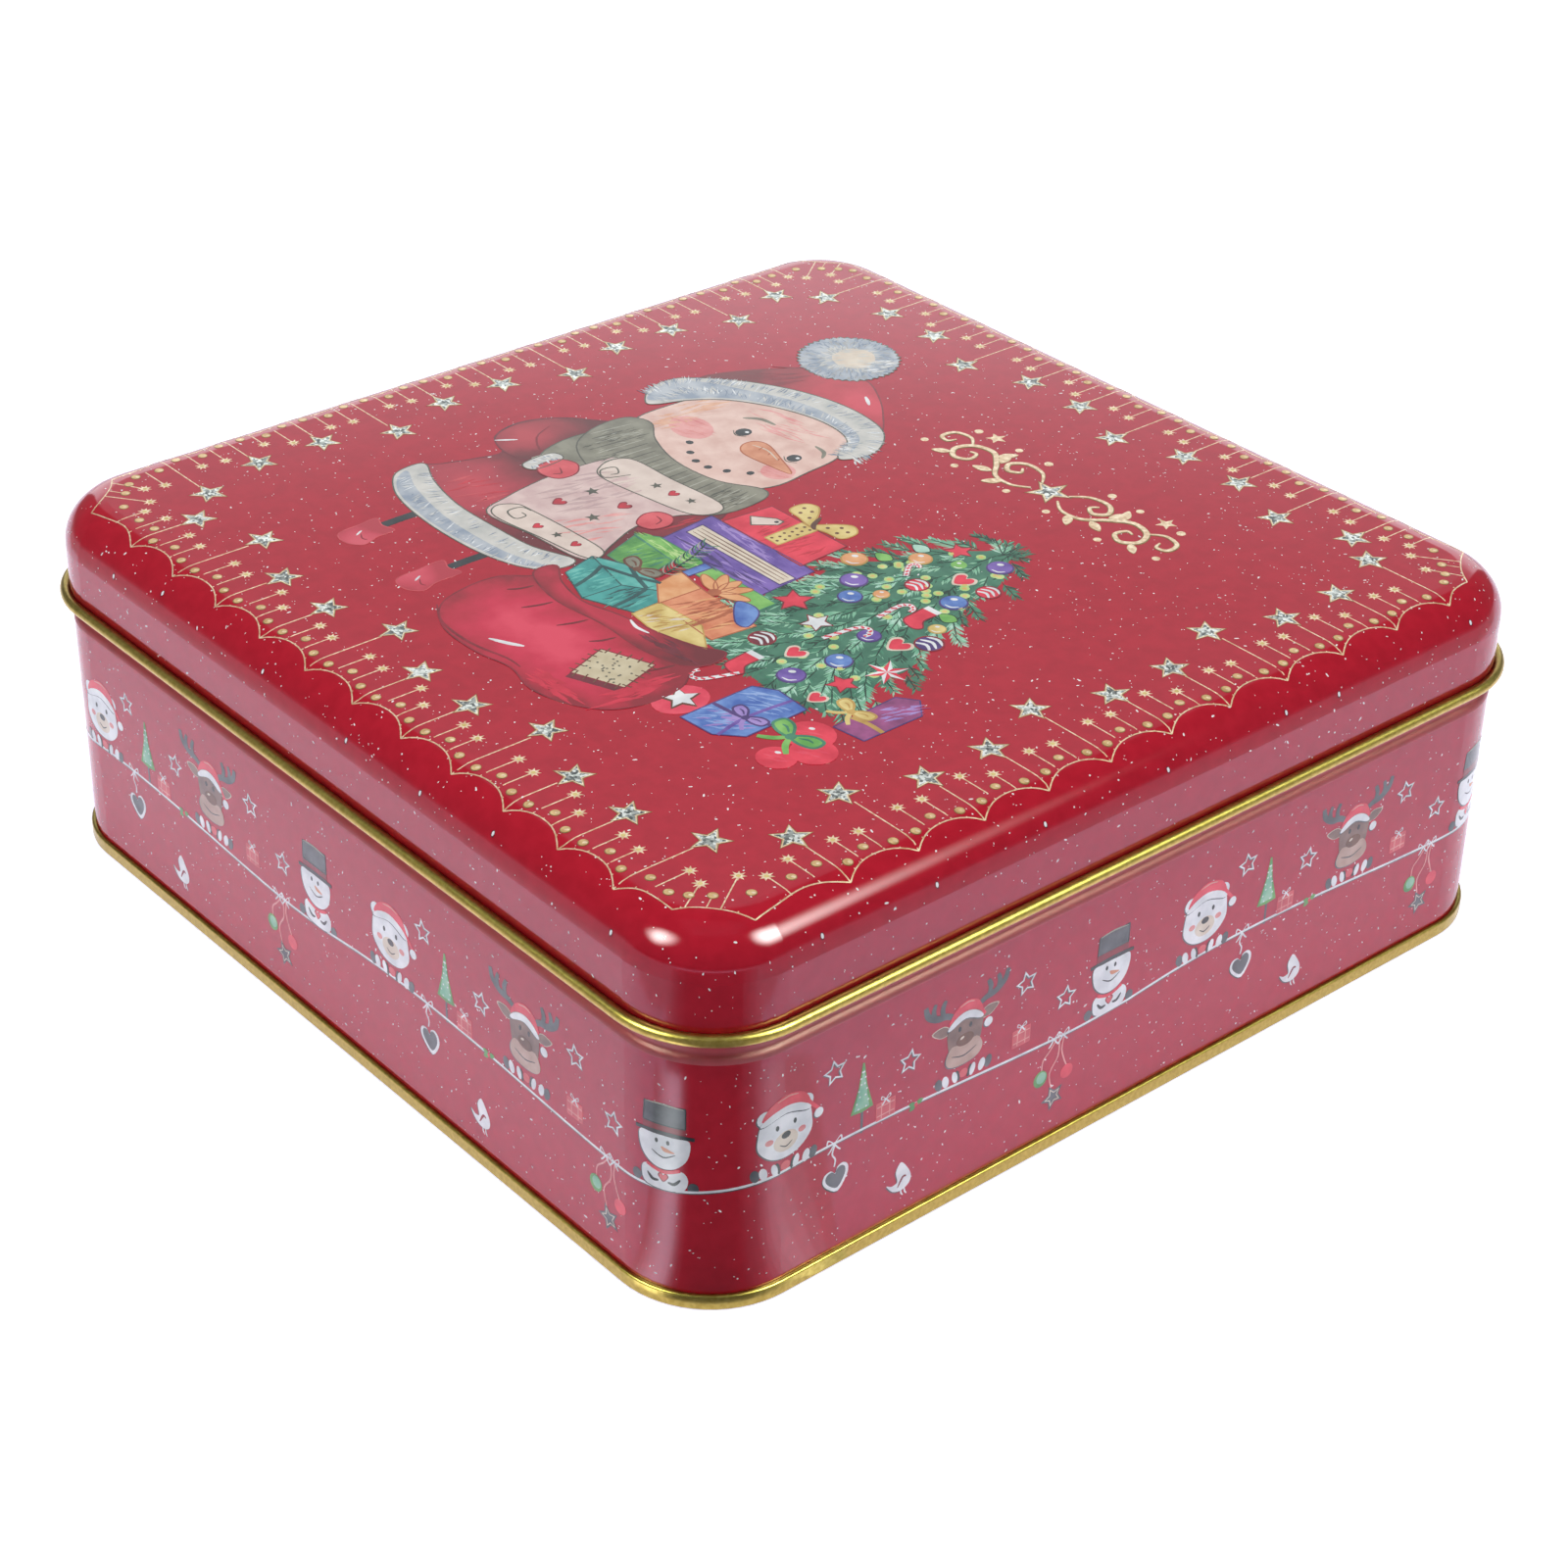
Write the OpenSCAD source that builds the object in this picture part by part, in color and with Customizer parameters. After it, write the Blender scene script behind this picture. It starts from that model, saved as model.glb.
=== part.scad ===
// Square cookie tin with rounded corners and a lift-off lid, in bent tinplate.
// Millimetres, +Z up. The origin is the middle of the base, and the front face looks along -Y.
// Each sheet is one profile, swept round the tin. A profile's x is the distance outside the
// body wall's face, and its y is the height above the table.

/* [Body] */
// Width and depth across the body wall
body_w = 200; // [180:1:220]
// Outside radius of the four upright corners
corner_r = 18; // [16:0.5:24]
// Height where the wall starts to draw in for the lid
step_z = 48.9; // [46:0.1:50]
// How far the neck under the lid sits inside the wall
neck_inset = 0.9; // [0.7:0.05:1.2]
// Outside radius of the bend at the top of the wall
step_bend = 1.6; // [1.2:0.1:2]
// Radius of the opposite bend at the foot of the neck
heel_bend = 0.8; // [0.6:0.1:1.2]
// Radius of the neck's inward hem, which the lid rests on
rim_r = 1.1; // [0.9:0.05:1.2]

/* [Lid] */
// Height of the closed tin
tin_h = 72.8; // [70:0.2:78]
// Radius of the lid's rounded shoulder
shoulder_r = 8.5; // [8:0.25:9]
// How far the skirt stands outside the body wall
lid_proud = 0.2; // [0.15:0.05:0.4]
// Radius of the skirt's outward curl
curl_r = 1.1; // [0.9:0.05:1.3]
// Height of the middle of that curl
curl_z = 54.4; // [54:0.2:56]
// Gap between the lid and the hem at rest
rest_gap = 0.05; // [0.03:0.01:0.1]

/* [Bottom] */
// Height of the folded bottom seam
seam_h = 2.9; // [2.6:0.1:3.4]
// Height of the underside of the floor
floor_z = 2.2; // [1.8:0.1:2.6]
// Outside radius of the bend from the floor down into the seam
floor_bend = 1.2; // [1:0.1:1.5]
// How far the raised middle of the floor sits inside the wall
tread_inset = 14; // [12:0.5:15]
// Height of that raised middle above the rest of the floor
tread_rise = 0.8; // [0.7:0.1:1]

/* [Sheet] */
// Thickness of the tinplate
tin_t = 0.3; // [0.25:0.01:0.32]
// Gap between two layers in the bottom seam
seam_gap = 0.08; // [0.06:0.01:0.1]
// Opening left between an open curl and the wall beside it
curl_gap = 0.12; // [0.1:0.01:0.15]
// Width of the side seam up the inside of the back wall
lock_w = 6; // [5:0.5:8]

/* [Hidden] */
$fn = 96;
straight = body_w - 2 * corner_r;

// The lid's shoulder bends about this point, and the hem nests inside it.
shoulder_x = lid_proud - shoulder_r;
shoulder_z = tin_h - shoulder_r;
rim_x = -neck_inset - rim_r;
rim_reach = shoulder_r - tin_t - rim_r - rest_gap;
rim_z = shoulder_z + sqrt(rim_reach * rim_reach - pow(rim_x - shoulder_x, 2));

// The wall leans in by this angle between those two bends, and is upright again at neck_z.
step_reach = step_bend + heel_bend;
step_angle = acos(1 - neck_inset / step_reach);
neck_z = step_z + step_reach * sin(step_angle);
// The heel's bend laps a little on to the wall's, so that the two are one sheet.
heel_lap = 2;

// A curl stops where its end is curl_gap away from its own wall.
curl_stop = acos((tin_t + curl_gap) / curl_r - 1);
rim_stop = acos((tin_t + curl_gap) / rim_r - 1);

// The wall's foot folds out into a hook, and the floor's edge wraps round that fold.
hook_gap = 2 * seam_gap;
hook_x = hook_gap + tin_t;
fold_x = hook_gap / 2;
fold_r = hook_x - fold_x;
wrap_x = hook_x + seam_gap + tin_t;
chuck_x = -tin_t - seam_gap;
wrap_bend = 0.5;
fold_z = tin_t + seam_gap + fold_r;
hook_top = seam_h - 2 * tin_t;
floor_top = floor_z + tin_t;
tread_bend = tin_t + (tread_rise - tin_t) / 2;

red = [0.62, 0.07, 0.12];
gold = [0.72, 0.58, 0.27];

// A bent strip of sheet: part of a ring of outside radius r, from one angle to another.
module bend(x, z, r, from, to, thick = tin_t) {
    steps = 8;
    translate([x, z]) intersection() {
        difference() {
            circle(r = r);
            circle(r = r - thick);
        }
        polygon(concat([[0, 0]], [for (i = [0:steps])
            let (a = from + (to - from) * i / steps) 2 * r * [cos(a), sin(a)]]));
    }
}

// A flat strip of sheet between two corners.
module strip(x0, z0, x1, z1) {
    translate([x0, z0]) square([x1 - x0, z1 - z0]);
}

// Takes a profile round the tin: four straight runs and four rounded corners.
module round_tin() {
    for (side = [0:3]) rotate(90 * side) {
        translate([body_w / 2, straight / 2, 0]) rotate([90, 0, 0])
            linear_extrude(straight) children();
        translate([straight / 2, straight / 2, 0]) rotate_extrude(angle = 90)
            translate([corner_r, 0]) children();
    }
}

// A flat sheet that fills the tin's outline, less an inset.
module panel(inset, z) {
    r = corner_r - inset;
    translate([0, 0, z]) linear_extrude(tin_t) union() {
        square([straight, straight + 2 * r], center = true);
        square([straight + 2 * r, straight], center = true);
        for (x = [-1, 1], y = [-1, 1]) translate(straight / 2 * [x, y]) circle(r = r);
    }
}

// Shoulder, skirt and outward curl of the lid.
module lid_profile() {
    bend(shoulder_x, shoulder_z, shoulder_r, 0, 90);
    strip(lid_proud - tin_t, curl_z, lid_proud, shoulder_z);
    bend(lid_proud - tin_t + curl_r, curl_z, curl_r, 180, 360 + curl_stop);
}

// Foot hook, wall, drawn-in neck and inward hem of the body.
module wall_profile() {
    strip(hook_gap, fold_z, hook_x, hook_top);
    bend(fold_x, fold_z, fold_r, 180, 360);
    strip(-tin_t, fold_z, 0, step_z);
    bend(-step_bend, step_z, step_bend, 0, step_angle);
    bend(heel_bend - neck_inset, neck_z, heel_bend + tin_t, 180, 180 + step_angle + heel_lap);
    strip(-neck_inset - tin_t, neck_z, -neck_inset, rim_z);
    bend(rim_x, rim_z, rim_r, 0, 180 + rim_stop);
}

// Floor edge: the pressed tread, the drop into the seam and the wrap round the hook.
module floor_profile() {
    low_x = tread_bend - tread_inset;
    strip(low_x - tread_bend + tin_t, floor_z + tread_rise, low_x - tread_bend, floor_top);
    bend(low_x - 2 * tread_bend + tin_t, floor_top + tread_rise - tread_bend, tread_bend, 0, 90);
    bend(low_x, floor_z + tread_bend, tread_bend, 180, 270);
    strip(low_x, floor_z, chuck_x - floor_bend, floor_top);
    bend(chuck_x - floor_bend, floor_top - floor_bend, floor_bend, 0, 90);
    strip(chuck_x - tin_t, wrap_bend, chuck_x, floor_top - floor_bend);
    bend(chuck_x - tin_t + wrap_bend, wrap_bend, wrap_bend, 180, 270);
    strip(chuck_x - tin_t + wrap_bend, 0, wrap_x - wrap_bend, tin_t);
    bend(wrap_x - wrap_bend, wrap_bend, wrap_bend, 270, 360);
    strip(wrap_x - tin_t, wrap_bend, wrap_x, seam_h - wrap_bend);
    bend(wrap_x - wrap_bend, seam_h - wrap_bend, wrap_bend, 0, 90);
    strip(seam_gap, seam_h - tin_t, wrap_x - wrap_bend, seam_h);
}

// One drawn sheet: the flat top, its rounded shoulder, the skirt and the curl.
module lid_shell() {
    color(red) union() {
        panel(-shoulder_x, tin_h - tin_t);
        round_tin() lid_profile();
    }
}

// The wrapped wall, with its folded side seam flat on the inside of the back.
module body_wall() {
    lock_t = 2 * tin_t;
    color(red) union() {
        round_tin() wall_profile();
        translate([-lock_w / 2, body_w / 2 - tin_t - lock_t, seam_h])
            cube([lock_w, lock_t + tin_t / 2, step_z - step_bend - seam_h]);
    }
}

// The pressed floor, seamed on to the foot of the wall.
module bottom_panel() {
    color(gold) union() {
        panel(tread_inset + tread_bend - tin_t, floor_z + tread_rise);
        round_tin() floor_profile();
    }
}

lid_shell();
body_wall();
bottom_panel();
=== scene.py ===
"""Looks for the square cookie tin: crimson print, gold lacquer, and the artwork on both.

Metres, in the frame's own axes. The artwork is drawn flat in millimetres, with the
front of the tin towards -Y, and is then laid on to the sheet metal.
"""
import math
import random

import bmesh
import bpy
from mathutils import Matrix, Vector


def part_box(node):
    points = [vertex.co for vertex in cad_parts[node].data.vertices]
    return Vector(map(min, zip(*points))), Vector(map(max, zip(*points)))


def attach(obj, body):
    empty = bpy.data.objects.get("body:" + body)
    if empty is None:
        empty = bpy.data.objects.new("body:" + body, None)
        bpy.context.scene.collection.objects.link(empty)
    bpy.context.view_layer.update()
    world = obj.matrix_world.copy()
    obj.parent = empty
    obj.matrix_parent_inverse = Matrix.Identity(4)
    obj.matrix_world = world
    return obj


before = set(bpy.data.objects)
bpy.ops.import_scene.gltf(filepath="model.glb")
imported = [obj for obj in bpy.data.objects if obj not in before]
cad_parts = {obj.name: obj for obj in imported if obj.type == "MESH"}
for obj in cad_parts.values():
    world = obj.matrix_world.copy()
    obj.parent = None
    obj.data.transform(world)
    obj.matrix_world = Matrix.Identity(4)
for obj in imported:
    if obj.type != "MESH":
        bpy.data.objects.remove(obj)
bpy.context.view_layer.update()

MM = 0.001
SEED = 12

# Sizes of the tin, from the frame where it gives them, in millimetres.
lid_low, lid_high = (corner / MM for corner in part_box("lid_shell"))
wall_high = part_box("body_wall")[1] / MM
SHEET = 0.3
CORNER_R = 18
WALL_HALF = 100
LID_PROUD = 0.2
LID_HALF = WALL_HALF + LID_PROUD
CURL_R = 1.1
CURL_Z = lid_low.z + CURL_R
SHOULDER_R = 8.5
LID_TOP = lid_high.z
FLAT_HALF = LID_HALF - SHOULDER_R
SEAM_TOP = 2.9
STEP_Z = 48.6  # just below where the wall starts to draw in under the lid
BARE_RIM = 2.3  # height of the rolled top of the neck, which has no print on it
STRAIGHT_HALF = WALL_HALF - CORNER_R  # half of a wall's flat stretch


# ---------------------------------------------------------------- materials

def new_material(name, colour, **sockets):
    """A Principled material with plain values, and its node tree and shader."""
    mat = bpy.data.materials.new(name)
    mat.use_nodes = True
    bsdf = mat.node_tree.nodes["Principled BSDF"]
    bsdf.inputs["Base Color"].default_value = (*colour, 1)
    for socket, value in sockets.items():
        bsdf.inputs[socket.replace("_", " ")].default_value = value
    return mat, mat.node_tree, bsdf


def noise_node(tree, scale, detail=2, stretch=(1, 1, 1)):
    """Noise over the object's own metres. scale is in features per millimetre."""
    coords = tree.nodes.new("ShaderNodeTexCoord")
    mapping = tree.nodes.new("ShaderNodeMapping")
    mapping.inputs["Scale"].default_value = stretch
    noise = tree.nodes.new("ShaderNodeTexNoise")
    noise.inputs["Scale"].default_value = scale / MM
    noise.inputs["Detail"].default_value = detail
    tree.links.new(coords.outputs["Object"], mapping.inputs["Vector"])
    tree.links.new(mapping.outputs["Vector"], noise.inputs["Vector"])
    return noise.outputs["Fac"]


def ramp(tree, fac, stops):
    """A colour ramp over fac. stops are (position, colour) pairs."""
    node = tree.nodes.new("ShaderNodeValToRGB")
    for i, (place, colour) in enumerate(stops):
        if i < 2:
            stop = node.color_ramp.elements[i]
            stop.position = place
        else:
            stop = node.color_ramp.elements.new(place)
        stop.color = (*colour, 1)
    tree.links.new(fac, node.inputs["Fac"])
    return node.outputs["Color"]


def bump(tree, bsdf, height, depth_mm):
    """Bumps the shader by height, up to depth_mm deep."""
    node = tree.nodes.new("ShaderNodeBump")
    node.inputs["Distance"].default_value = depth_mm * MM
    tree.links.new(height, node.inputs["Height"])
    tree.links.new(node.outputs["Normal"], bsdf.inputs["Normal"])


def mottled(name, dark, light, scale, wave_mm=0.0, **sockets):
    """A material whose colour drifts between dark and light, with an optional slow wave."""
    mat, tree, bsdf = new_material(name, light, **sockets)
    colour = ramp(tree, noise_node(tree, scale, 4), [(0.35, dark), (0.65, light)])
    tree.links.new(colour, bsdf.inputs["Base Color"])
    if wave_mm:
        bump(tree, bsdf, noise_node(tree, 0.012, 1), wave_mm)
    return mat


LACQUER = {"Roughness": 0.09, "Specular_IOR_Level": 0.6, "Specular_Tint": (0.94, 0.75, 1, 1)}
crimson = mottled("crimson_print", (0.385, 0.004, 0.015), (0.435, 0.006, 0.019), 0.35,
                  wave_mm=0.05, **LACQUER)
gold = mottled("gold_lacquer", (0.41, 0.285, 0.072), (0.53, 0.38, 0.11), 1.2,
               Metallic=1.0, Roughness=0.32)
gold_seam = mottled("gold_seam_lacquer", (0.34, 0.24, 0.055), (0.45, 0.33, 0.09), 1.2,
                    Metallic=1.0, Roughness=0.28)
# Crimson for the wall's step under the lid. Its rougher finish is real. Its paler colour is a
# painted highlight, standing in for the light band that the bend catches.
step_highlight_crimson = mottled("painted_highlight_step_print", (0.43, 0.018, 0.036), (0.48, 0.024, 0.045), 0.35,
                       Roughness=0.42, Specular_IOR_Level=0.8)

# ---------------------------------------------------------------- tinplate

def print_side(node, is_printed, metal=gold):
    """Gives a CAD node gold lacquer, and crimson print on the faces that is_printed picks."""
    mesh = node.data
    mesh.materials.clear()
    for mat in (crimson, metal, step_highlight_crimson):
        mesh.materials.append(mat)
    for face in mesh.polygons:
        face.material_index = 0 if is_printed(face.center / MM, face.normal) else 1


def paint_step_highlight(node, wall_top):
    """Where the wall steps in under the lid the print is rougher, and paler as a painted highlight
    for the light band that the bend catches.
    """
    for face in node.data.polygons:
        if face.material_index == 0 and face.center.z > wall_top * MM and face.normal.z > -0.5:
            face.material_index = 2


def past_straight(point):
    """How far a point is beyond the flat stretches of the walls, along X and Y."""
    return Vector((max(abs(point.x) - STRAIGHT_HALF, 0), max(abs(point.y) - STRAIGHT_HALF, 0), 0))


def outward(point):
    """Unit vector out from the tin's upright axis, square to the nearest wall or corner."""
    over = past_straight(point)
    return Vector((math.copysign(over.x, point.x), math.copysign(over.y, point.y), 0)).normalized()


def stand_off(point):
    """How far a point is outside the body wall's face."""
    return past_straight(point).length - CORNER_R


def lid_printed(point, normal):
    """Whether a face of the lid is printed: its outside, down to where the curl turns under."""
    if point.z > CURL_Z + CURL_R:
        return normal.dot(outward(point) + Vector((0, 0, 1))) > 0
    in_curl = Vector((stand_off(point) - (LID_PROUD - SHEET + CURL_R), point.z - CURL_Z))
    face_out = Vector((normal.dot(outward(point)), normal.z))
    if in_curl.length < CURL_R + 0.05 and (point.z < CURL_Z or in_curl.x > -CURL_R + SHEET * 1.5):
        return in_curl.dot(face_out) < 0
    return face_out.x > 0


def wall_printed(point, normal):
    """Whether a face of the wall is printed: its outside, up to the rolled rim."""
    return point.z < wall_high.z - BARE_RIM and normal.dot(outward(point)) > 0


print_side(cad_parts["lid_shell"], lid_printed)
print_side(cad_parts["body_wall"], wall_printed)
print_side(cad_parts["bottom_panel"], lambda point, normal: False, gold_seam)
# The wall's step under the lid gets the paler crimson, a painted highlight.
paint_step_highlight(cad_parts["body_wall"], STEP_Z)

# ---------------------------------------------------------------- printing

LEVEL = 0.005  # how much higher each layer of ink stands, in millimetres
INK_BASE = 0.02

INKS = {  # name: dark and light of its wash
    "white": ((0.62, 0.64, 0.66), (0.82, 0.83, 0.84)),
    "snow": ((0.78, 0.77, 0.78), (0.90, 0.89, 0.89)),
    "fur_grey": ((0.28, 0.29, 0.30), (0.44, 0.44, 0.43)),
    "cream": ((0.60, 0.50, 0.40), (0.72, 0.63, 0.52)),
    "fur": ((0.26, 0.31, 0.39), (0.48, 0.51, 0.55)),
    "fur_light": ((0.48, 0.48, 0.46), (0.64, 0.62, 0.58)),
    "fur_shade": ((0.16, 0.20, 0.28), (0.26, 0.31, 0.38)),
    "sage": ((0.17, 0.16, 0.12), (0.27, 0.26, 0.20)),
    "sage_dark": ((0.07, 0.07, 0.055), (0.12, 0.115, 0.09)),
    "charcoal": ((0.012, 0.014, 0.018), (0.035, 0.038, 0.045)),
    "red": ((0.40, 0.012, 0.030), (0.62, 0.020, 0.045)),
    "red_bright": ((0.60, 0.020, 0.050), (0.78, 0.045, 0.085)),
    "red_deep": ((0.17, 0.006, 0.016), (0.28, 0.010, 0.028)),
    "pink": ((0.62, 0.19, 0.19), (0.76, 0.33, 0.30)),
    "teal": ((0.020, 0.20, 0.19), (0.06, 0.36, 0.33)),
    "teal_dark": ((0.012, 0.055, 0.06), (0.03, 0.11, 0.11)),
    "lime": ((0.10, 0.34, 0.06), (0.24, 0.52, 0.13)),
    "pine": ((0.025, 0.15, 0.085), (0.075, 0.27, 0.16)),
    "pine_light": ((0.14, 0.40, 0.25), (0.30, 0.55, 0.38)),
    "pine_mid": ((0.030, 0.13, 0.080), (0.060, 0.20, 0.125)),
    "pine_dark": ((0.004, 0.030, 0.018), (0.012, 0.060, 0.035)),
    "purple": ((0.11, 0.055, 0.30), (0.22, 0.13, 0.46)),
    "purple_dark": ((0.045, 0.020, 0.13), (0.09, 0.045, 0.20)),
    "blue": ((0.05, 0.12, 0.42), (0.16, 0.29, 0.62)),
    "orange": ((0.58, 0.16, 0.07), (0.74, 0.30, 0.15)),
    "orange_dark": ((0.34, 0.08, 0.03), (0.46, 0.13, 0.05)),
    "yellow": ((0.58, 0.42, 0.12), (0.74, 0.60, 0.24)),
    "ochre": ((0.40, 0.22, 0.05), (0.58, 0.37, 0.10)),
    "brown": ((0.10, 0.035, 0.018), (0.17, 0.065, 0.035)),
    "charcoal_soft": ((0.05, 0.055, 0.065), (0.11, 0.12, 0.135)),
    "fawn": ((0.38, 0.24, 0.19), (0.50, 0.34, 0.28)),
    "fawn_dark": ((0.15, 0.08, 0.065), (0.24, 0.14, 0.11)),
    "wine": ((0.11, 0.008, 0.018), (0.20, 0.014, 0.032)),
    "red_boot": ((0.46, 0.040, 0.060), (0.62, 0.075, 0.095)),
    "red_mitten": ((0.58, 0.060, 0.080), (0.72, 0.11, 0.13)),
    "sack": ((0.50, 0.012, 0.040), (0.68, 0.025, 0.065)),
    "sack_light": ((0.66, 0.030, 0.075), (0.78, 0.075, 0.12)),
    "snow_face": ((0.66, 0.42, 0.36), (0.78, 0.56, 0.49)),
    "peach": ((0.66, 0.32, 0.20), (0.76, 0.46, 0.32)),
    "pink_light": ((0.68, 0.26, 0.25), (0.78, 0.38, 0.36)),
    "paper": ((0.58, 0.40, 0.39), (0.70, 0.53, 0.50)),
    "paper_shade": ((0.46, 0.31, 0.31), (0.56, 0.40, 0.39)),
    "paper_light": ((0.62, 0.50, 0.44), (0.74, 0.62, 0.55)),
    "patch": ((0.50, 0.42, 0.27), (0.64, 0.56, 0.39)),
    "sage_light": ((0.30, 0.30, 0.25), (0.42, 0.41, 0.34)),
    "carrot": ((0.56, 0.20, 0.10), (0.72, 0.34, 0.20)),
    "orange_light": ((0.66, 0.27, 0.10), (0.78, 0.42, 0.20)),
    "lime_light": ((0.36, 0.58, 0.18), (0.52, 0.70, 0.30)),
    "lime_deep": ((0.05, 0.22, 0.05), (0.14, 0.38, 0.09)),
    "teal_light": ((0.05, 0.34, 0.30), (0.15, 0.50, 0.44)),
    "pine_pale": ((0.28, 0.54, 0.42), (0.48, 0.70, 0.58)),
    "purple_light": ((0.26, 0.17, 0.48), (0.40, 0.28, 0.62)),
    "plum": ((0.20, 0.04, 0.14), (0.36, 0.08, 0.24)),
    "blue_light": ((0.18, 0.30, 0.62), (0.34, 0.46, 0.74)),
}
GLOSS = {"Roughness": 0.12, "Specular_IOR_Level": 0.6}

# Inks that run from a middle outwards: middle x and y, reach along x and y, and the tones met on
# the way out.
WASHES = {
    "coat_wash": ((-48, -34), (17, 13), ((0.1, (0.52, 0.040, 0.065)), (0.5, (0.40, 0.026, 0.050)),
                                         (0.85, (0.25, 0.016, 0.030)),
                                         (1.2, (0.14, 0.010, 0.018)))),
    "sleeve_wash": ((-60, -13), (9, 11), ((0.1, (0.46, 0.040, 0.060)), (0.5, (0.36, 0.026, 0.044)),
                                          (0.85, (0.20, 0.016, 0.026)),
                                          (1.2, (0.12, 0.010, 0.016)))),
    "hat_wash": ((-30, 49), (26, 12), ((0.1, (0.62, 0.040, 0.075)), (0.45, (0.50, 0.022, 0.048)),
                                       (0.8, (0.32, 0.014, 0.030)), (1.2, (0.17, 0.010, 0.018)))),
    "sack_wash": ((7, -58), (27, 13.5), ((0.2, (0.70, 0.048, 0.100)), (0.55, (0.58, 0.014, 0.058)),
                                         (0.85, (0.44, 0.008, 0.034)),
                                         (1.05, (0.26, 0.006, 0.020)))),
    "mouth_wash": ((4, -44), (24, 5), ((0.2, (0.46, 0.012, 0.040)), (0.5, (0.50, 0.014, 0.046)),
                                       (0.8, (0.30, 0.008, 0.024)), (1.1, (0.15, 0.006, 0.014)))),
    "boot_wash": ((-36, -63), (13, 5), ((0.2, (0.68, 0.11, 0.15)), (0.7, (0.62, 0.065, 0.105)),
                                        (1.0, (0.54, 0.040, 0.075)), (1.2, (0.44, 0.026, 0.050)))),
}
WASH_DRIFT = 0.9  # how far noise moves a tone's edge in or out, in reaches
WASH_END = 2  # the ramp runs from the middle out to this many reaches


def math_node(tree, operation, value, factor):
    """A Math node that puts value and a plain number through an operation."""
    node = tree.nodes.new("ShaderNodeMath")
    node.operation = operation
    node.inputs[1].default_value = factor
    tree.links.new(value, node.inputs[0])
    return node


def wash_material(name):
    """Ink that runs unevenly from one tone to the next, as watercolour does."""
    (x, y), (reach_x, reach_y), tones = WASHES[name]
    mat, tree, bsdf = new_material(name, tones[0][1], **GLOSS)
    coords = tree.nodes.new("ShaderNodeTexCoord")
    from_middle = tree.nodes.new("ShaderNodeMapping")
    from_middle.vector_type = "TEXTURE"
    from_middle.inputs["Location"].default_value = (x * MM, y * MM, LID_TOP * MM)
    from_middle.inputs["Scale"].default_value = (reach_x * MM, reach_y * MM, 1)
    way_out = tree.nodes.new("ShaderNodeVectorMath")
    way_out.operation = "LENGTH"
    tree.links.new(coords.outputs["Object"], from_middle.inputs["Vector"])
    tree.links.new(from_middle.outputs["Vector"], way_out.inputs[0])
    uneven = math_node(tree, "MULTIPLY_ADD", noise_node(tree, 0.16, 5), WASH_DRIFT)
    tree.links.new(way_out.outputs["Value"], uneven.inputs[2])
    centred = math_node(tree, "ADD", uneven.outputs["Value"], -WASH_DRIFT / 2)
    scaled = math_node(tree, "MULTIPLY", centred.outputs["Value"], 1 / WASH_END)
    colour = ramp(tree, scaled.outputs["Value"],
                  [(reach / WASH_END, tone) for reach, tone in tones])
    tree.links.new(colour, bsdf.inputs["Base Color"])
    return mat


def glitter_material():
    """Silver glitter: small cells, each its own shade and tilt."""
    mat, tree, bsdf = new_material("silver_glitter", (0.8, 0.8, 0.8), Roughness=0.3, Metallic=0.7)
    coords = tree.nodes.new("ShaderNodeTexCoord")
    cells = tree.nodes.new("ShaderNodeTexVoronoi")
    cells.inputs["Scale"].default_value = 1.9 / MM
    tree.links.new(coords.outputs["Object"], cells.inputs["Vector"])
    shade = tree.nodes.new("ShaderNodeSeparateColor")
    tree.links.new(cells.outputs["Color"], shade.inputs["Color"])
    colour = ramp(tree, shade.outputs["Red"], [(0.12, (0.10, 0.11, 0.11)),
                                               (0.85, (0.95, 0.96, 0.93)),
                                               (0.45, (0.42, 0.44, 0.42))])
    tree.links.new(colour, bsdf.inputs["Base Color"])
    bump(tree, bsdf, shade.outputs["Green"], 0.12)
    return mat


FOILS = {  # name: material's name, dark and light, noise per millimetre, metallic and roughness
    "foil": ("gold_foil", (0.66, 0.44, 0.25), (0.98, 0.82, 0.60), 1.1, 0.45, 0.34),
    "bronze": ("bronze_foil", (0.56, 0.34, 0.13), (0.80, 0.56, 0.27), 0.9, 0.4, 0.34),
    "foil_dark": ("gold_foil_edge", (0.16, 0.11, 0.03), (0.30, 0.21, 0.07), 1.5, 0.6, 0.4),
}


def ink_material(name):
    """The material of an ink, a wash, a foil or the glitter."""
    if name == "glitter":
        return glitter_material()
    if name in WASHES:
        return wash_material(name)
    if name in FOILS:
        full_name, dark, light, scale, metallic, roughness = FOILS[name]
        return mottled(full_name, dark, light, scale, Metallic=metallic, Roughness=roughness)
    dark, light = INKS[name]
    return mottled("ink_" + name, dark, light, 0.25, **GLOSS)


materials = {}


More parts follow.
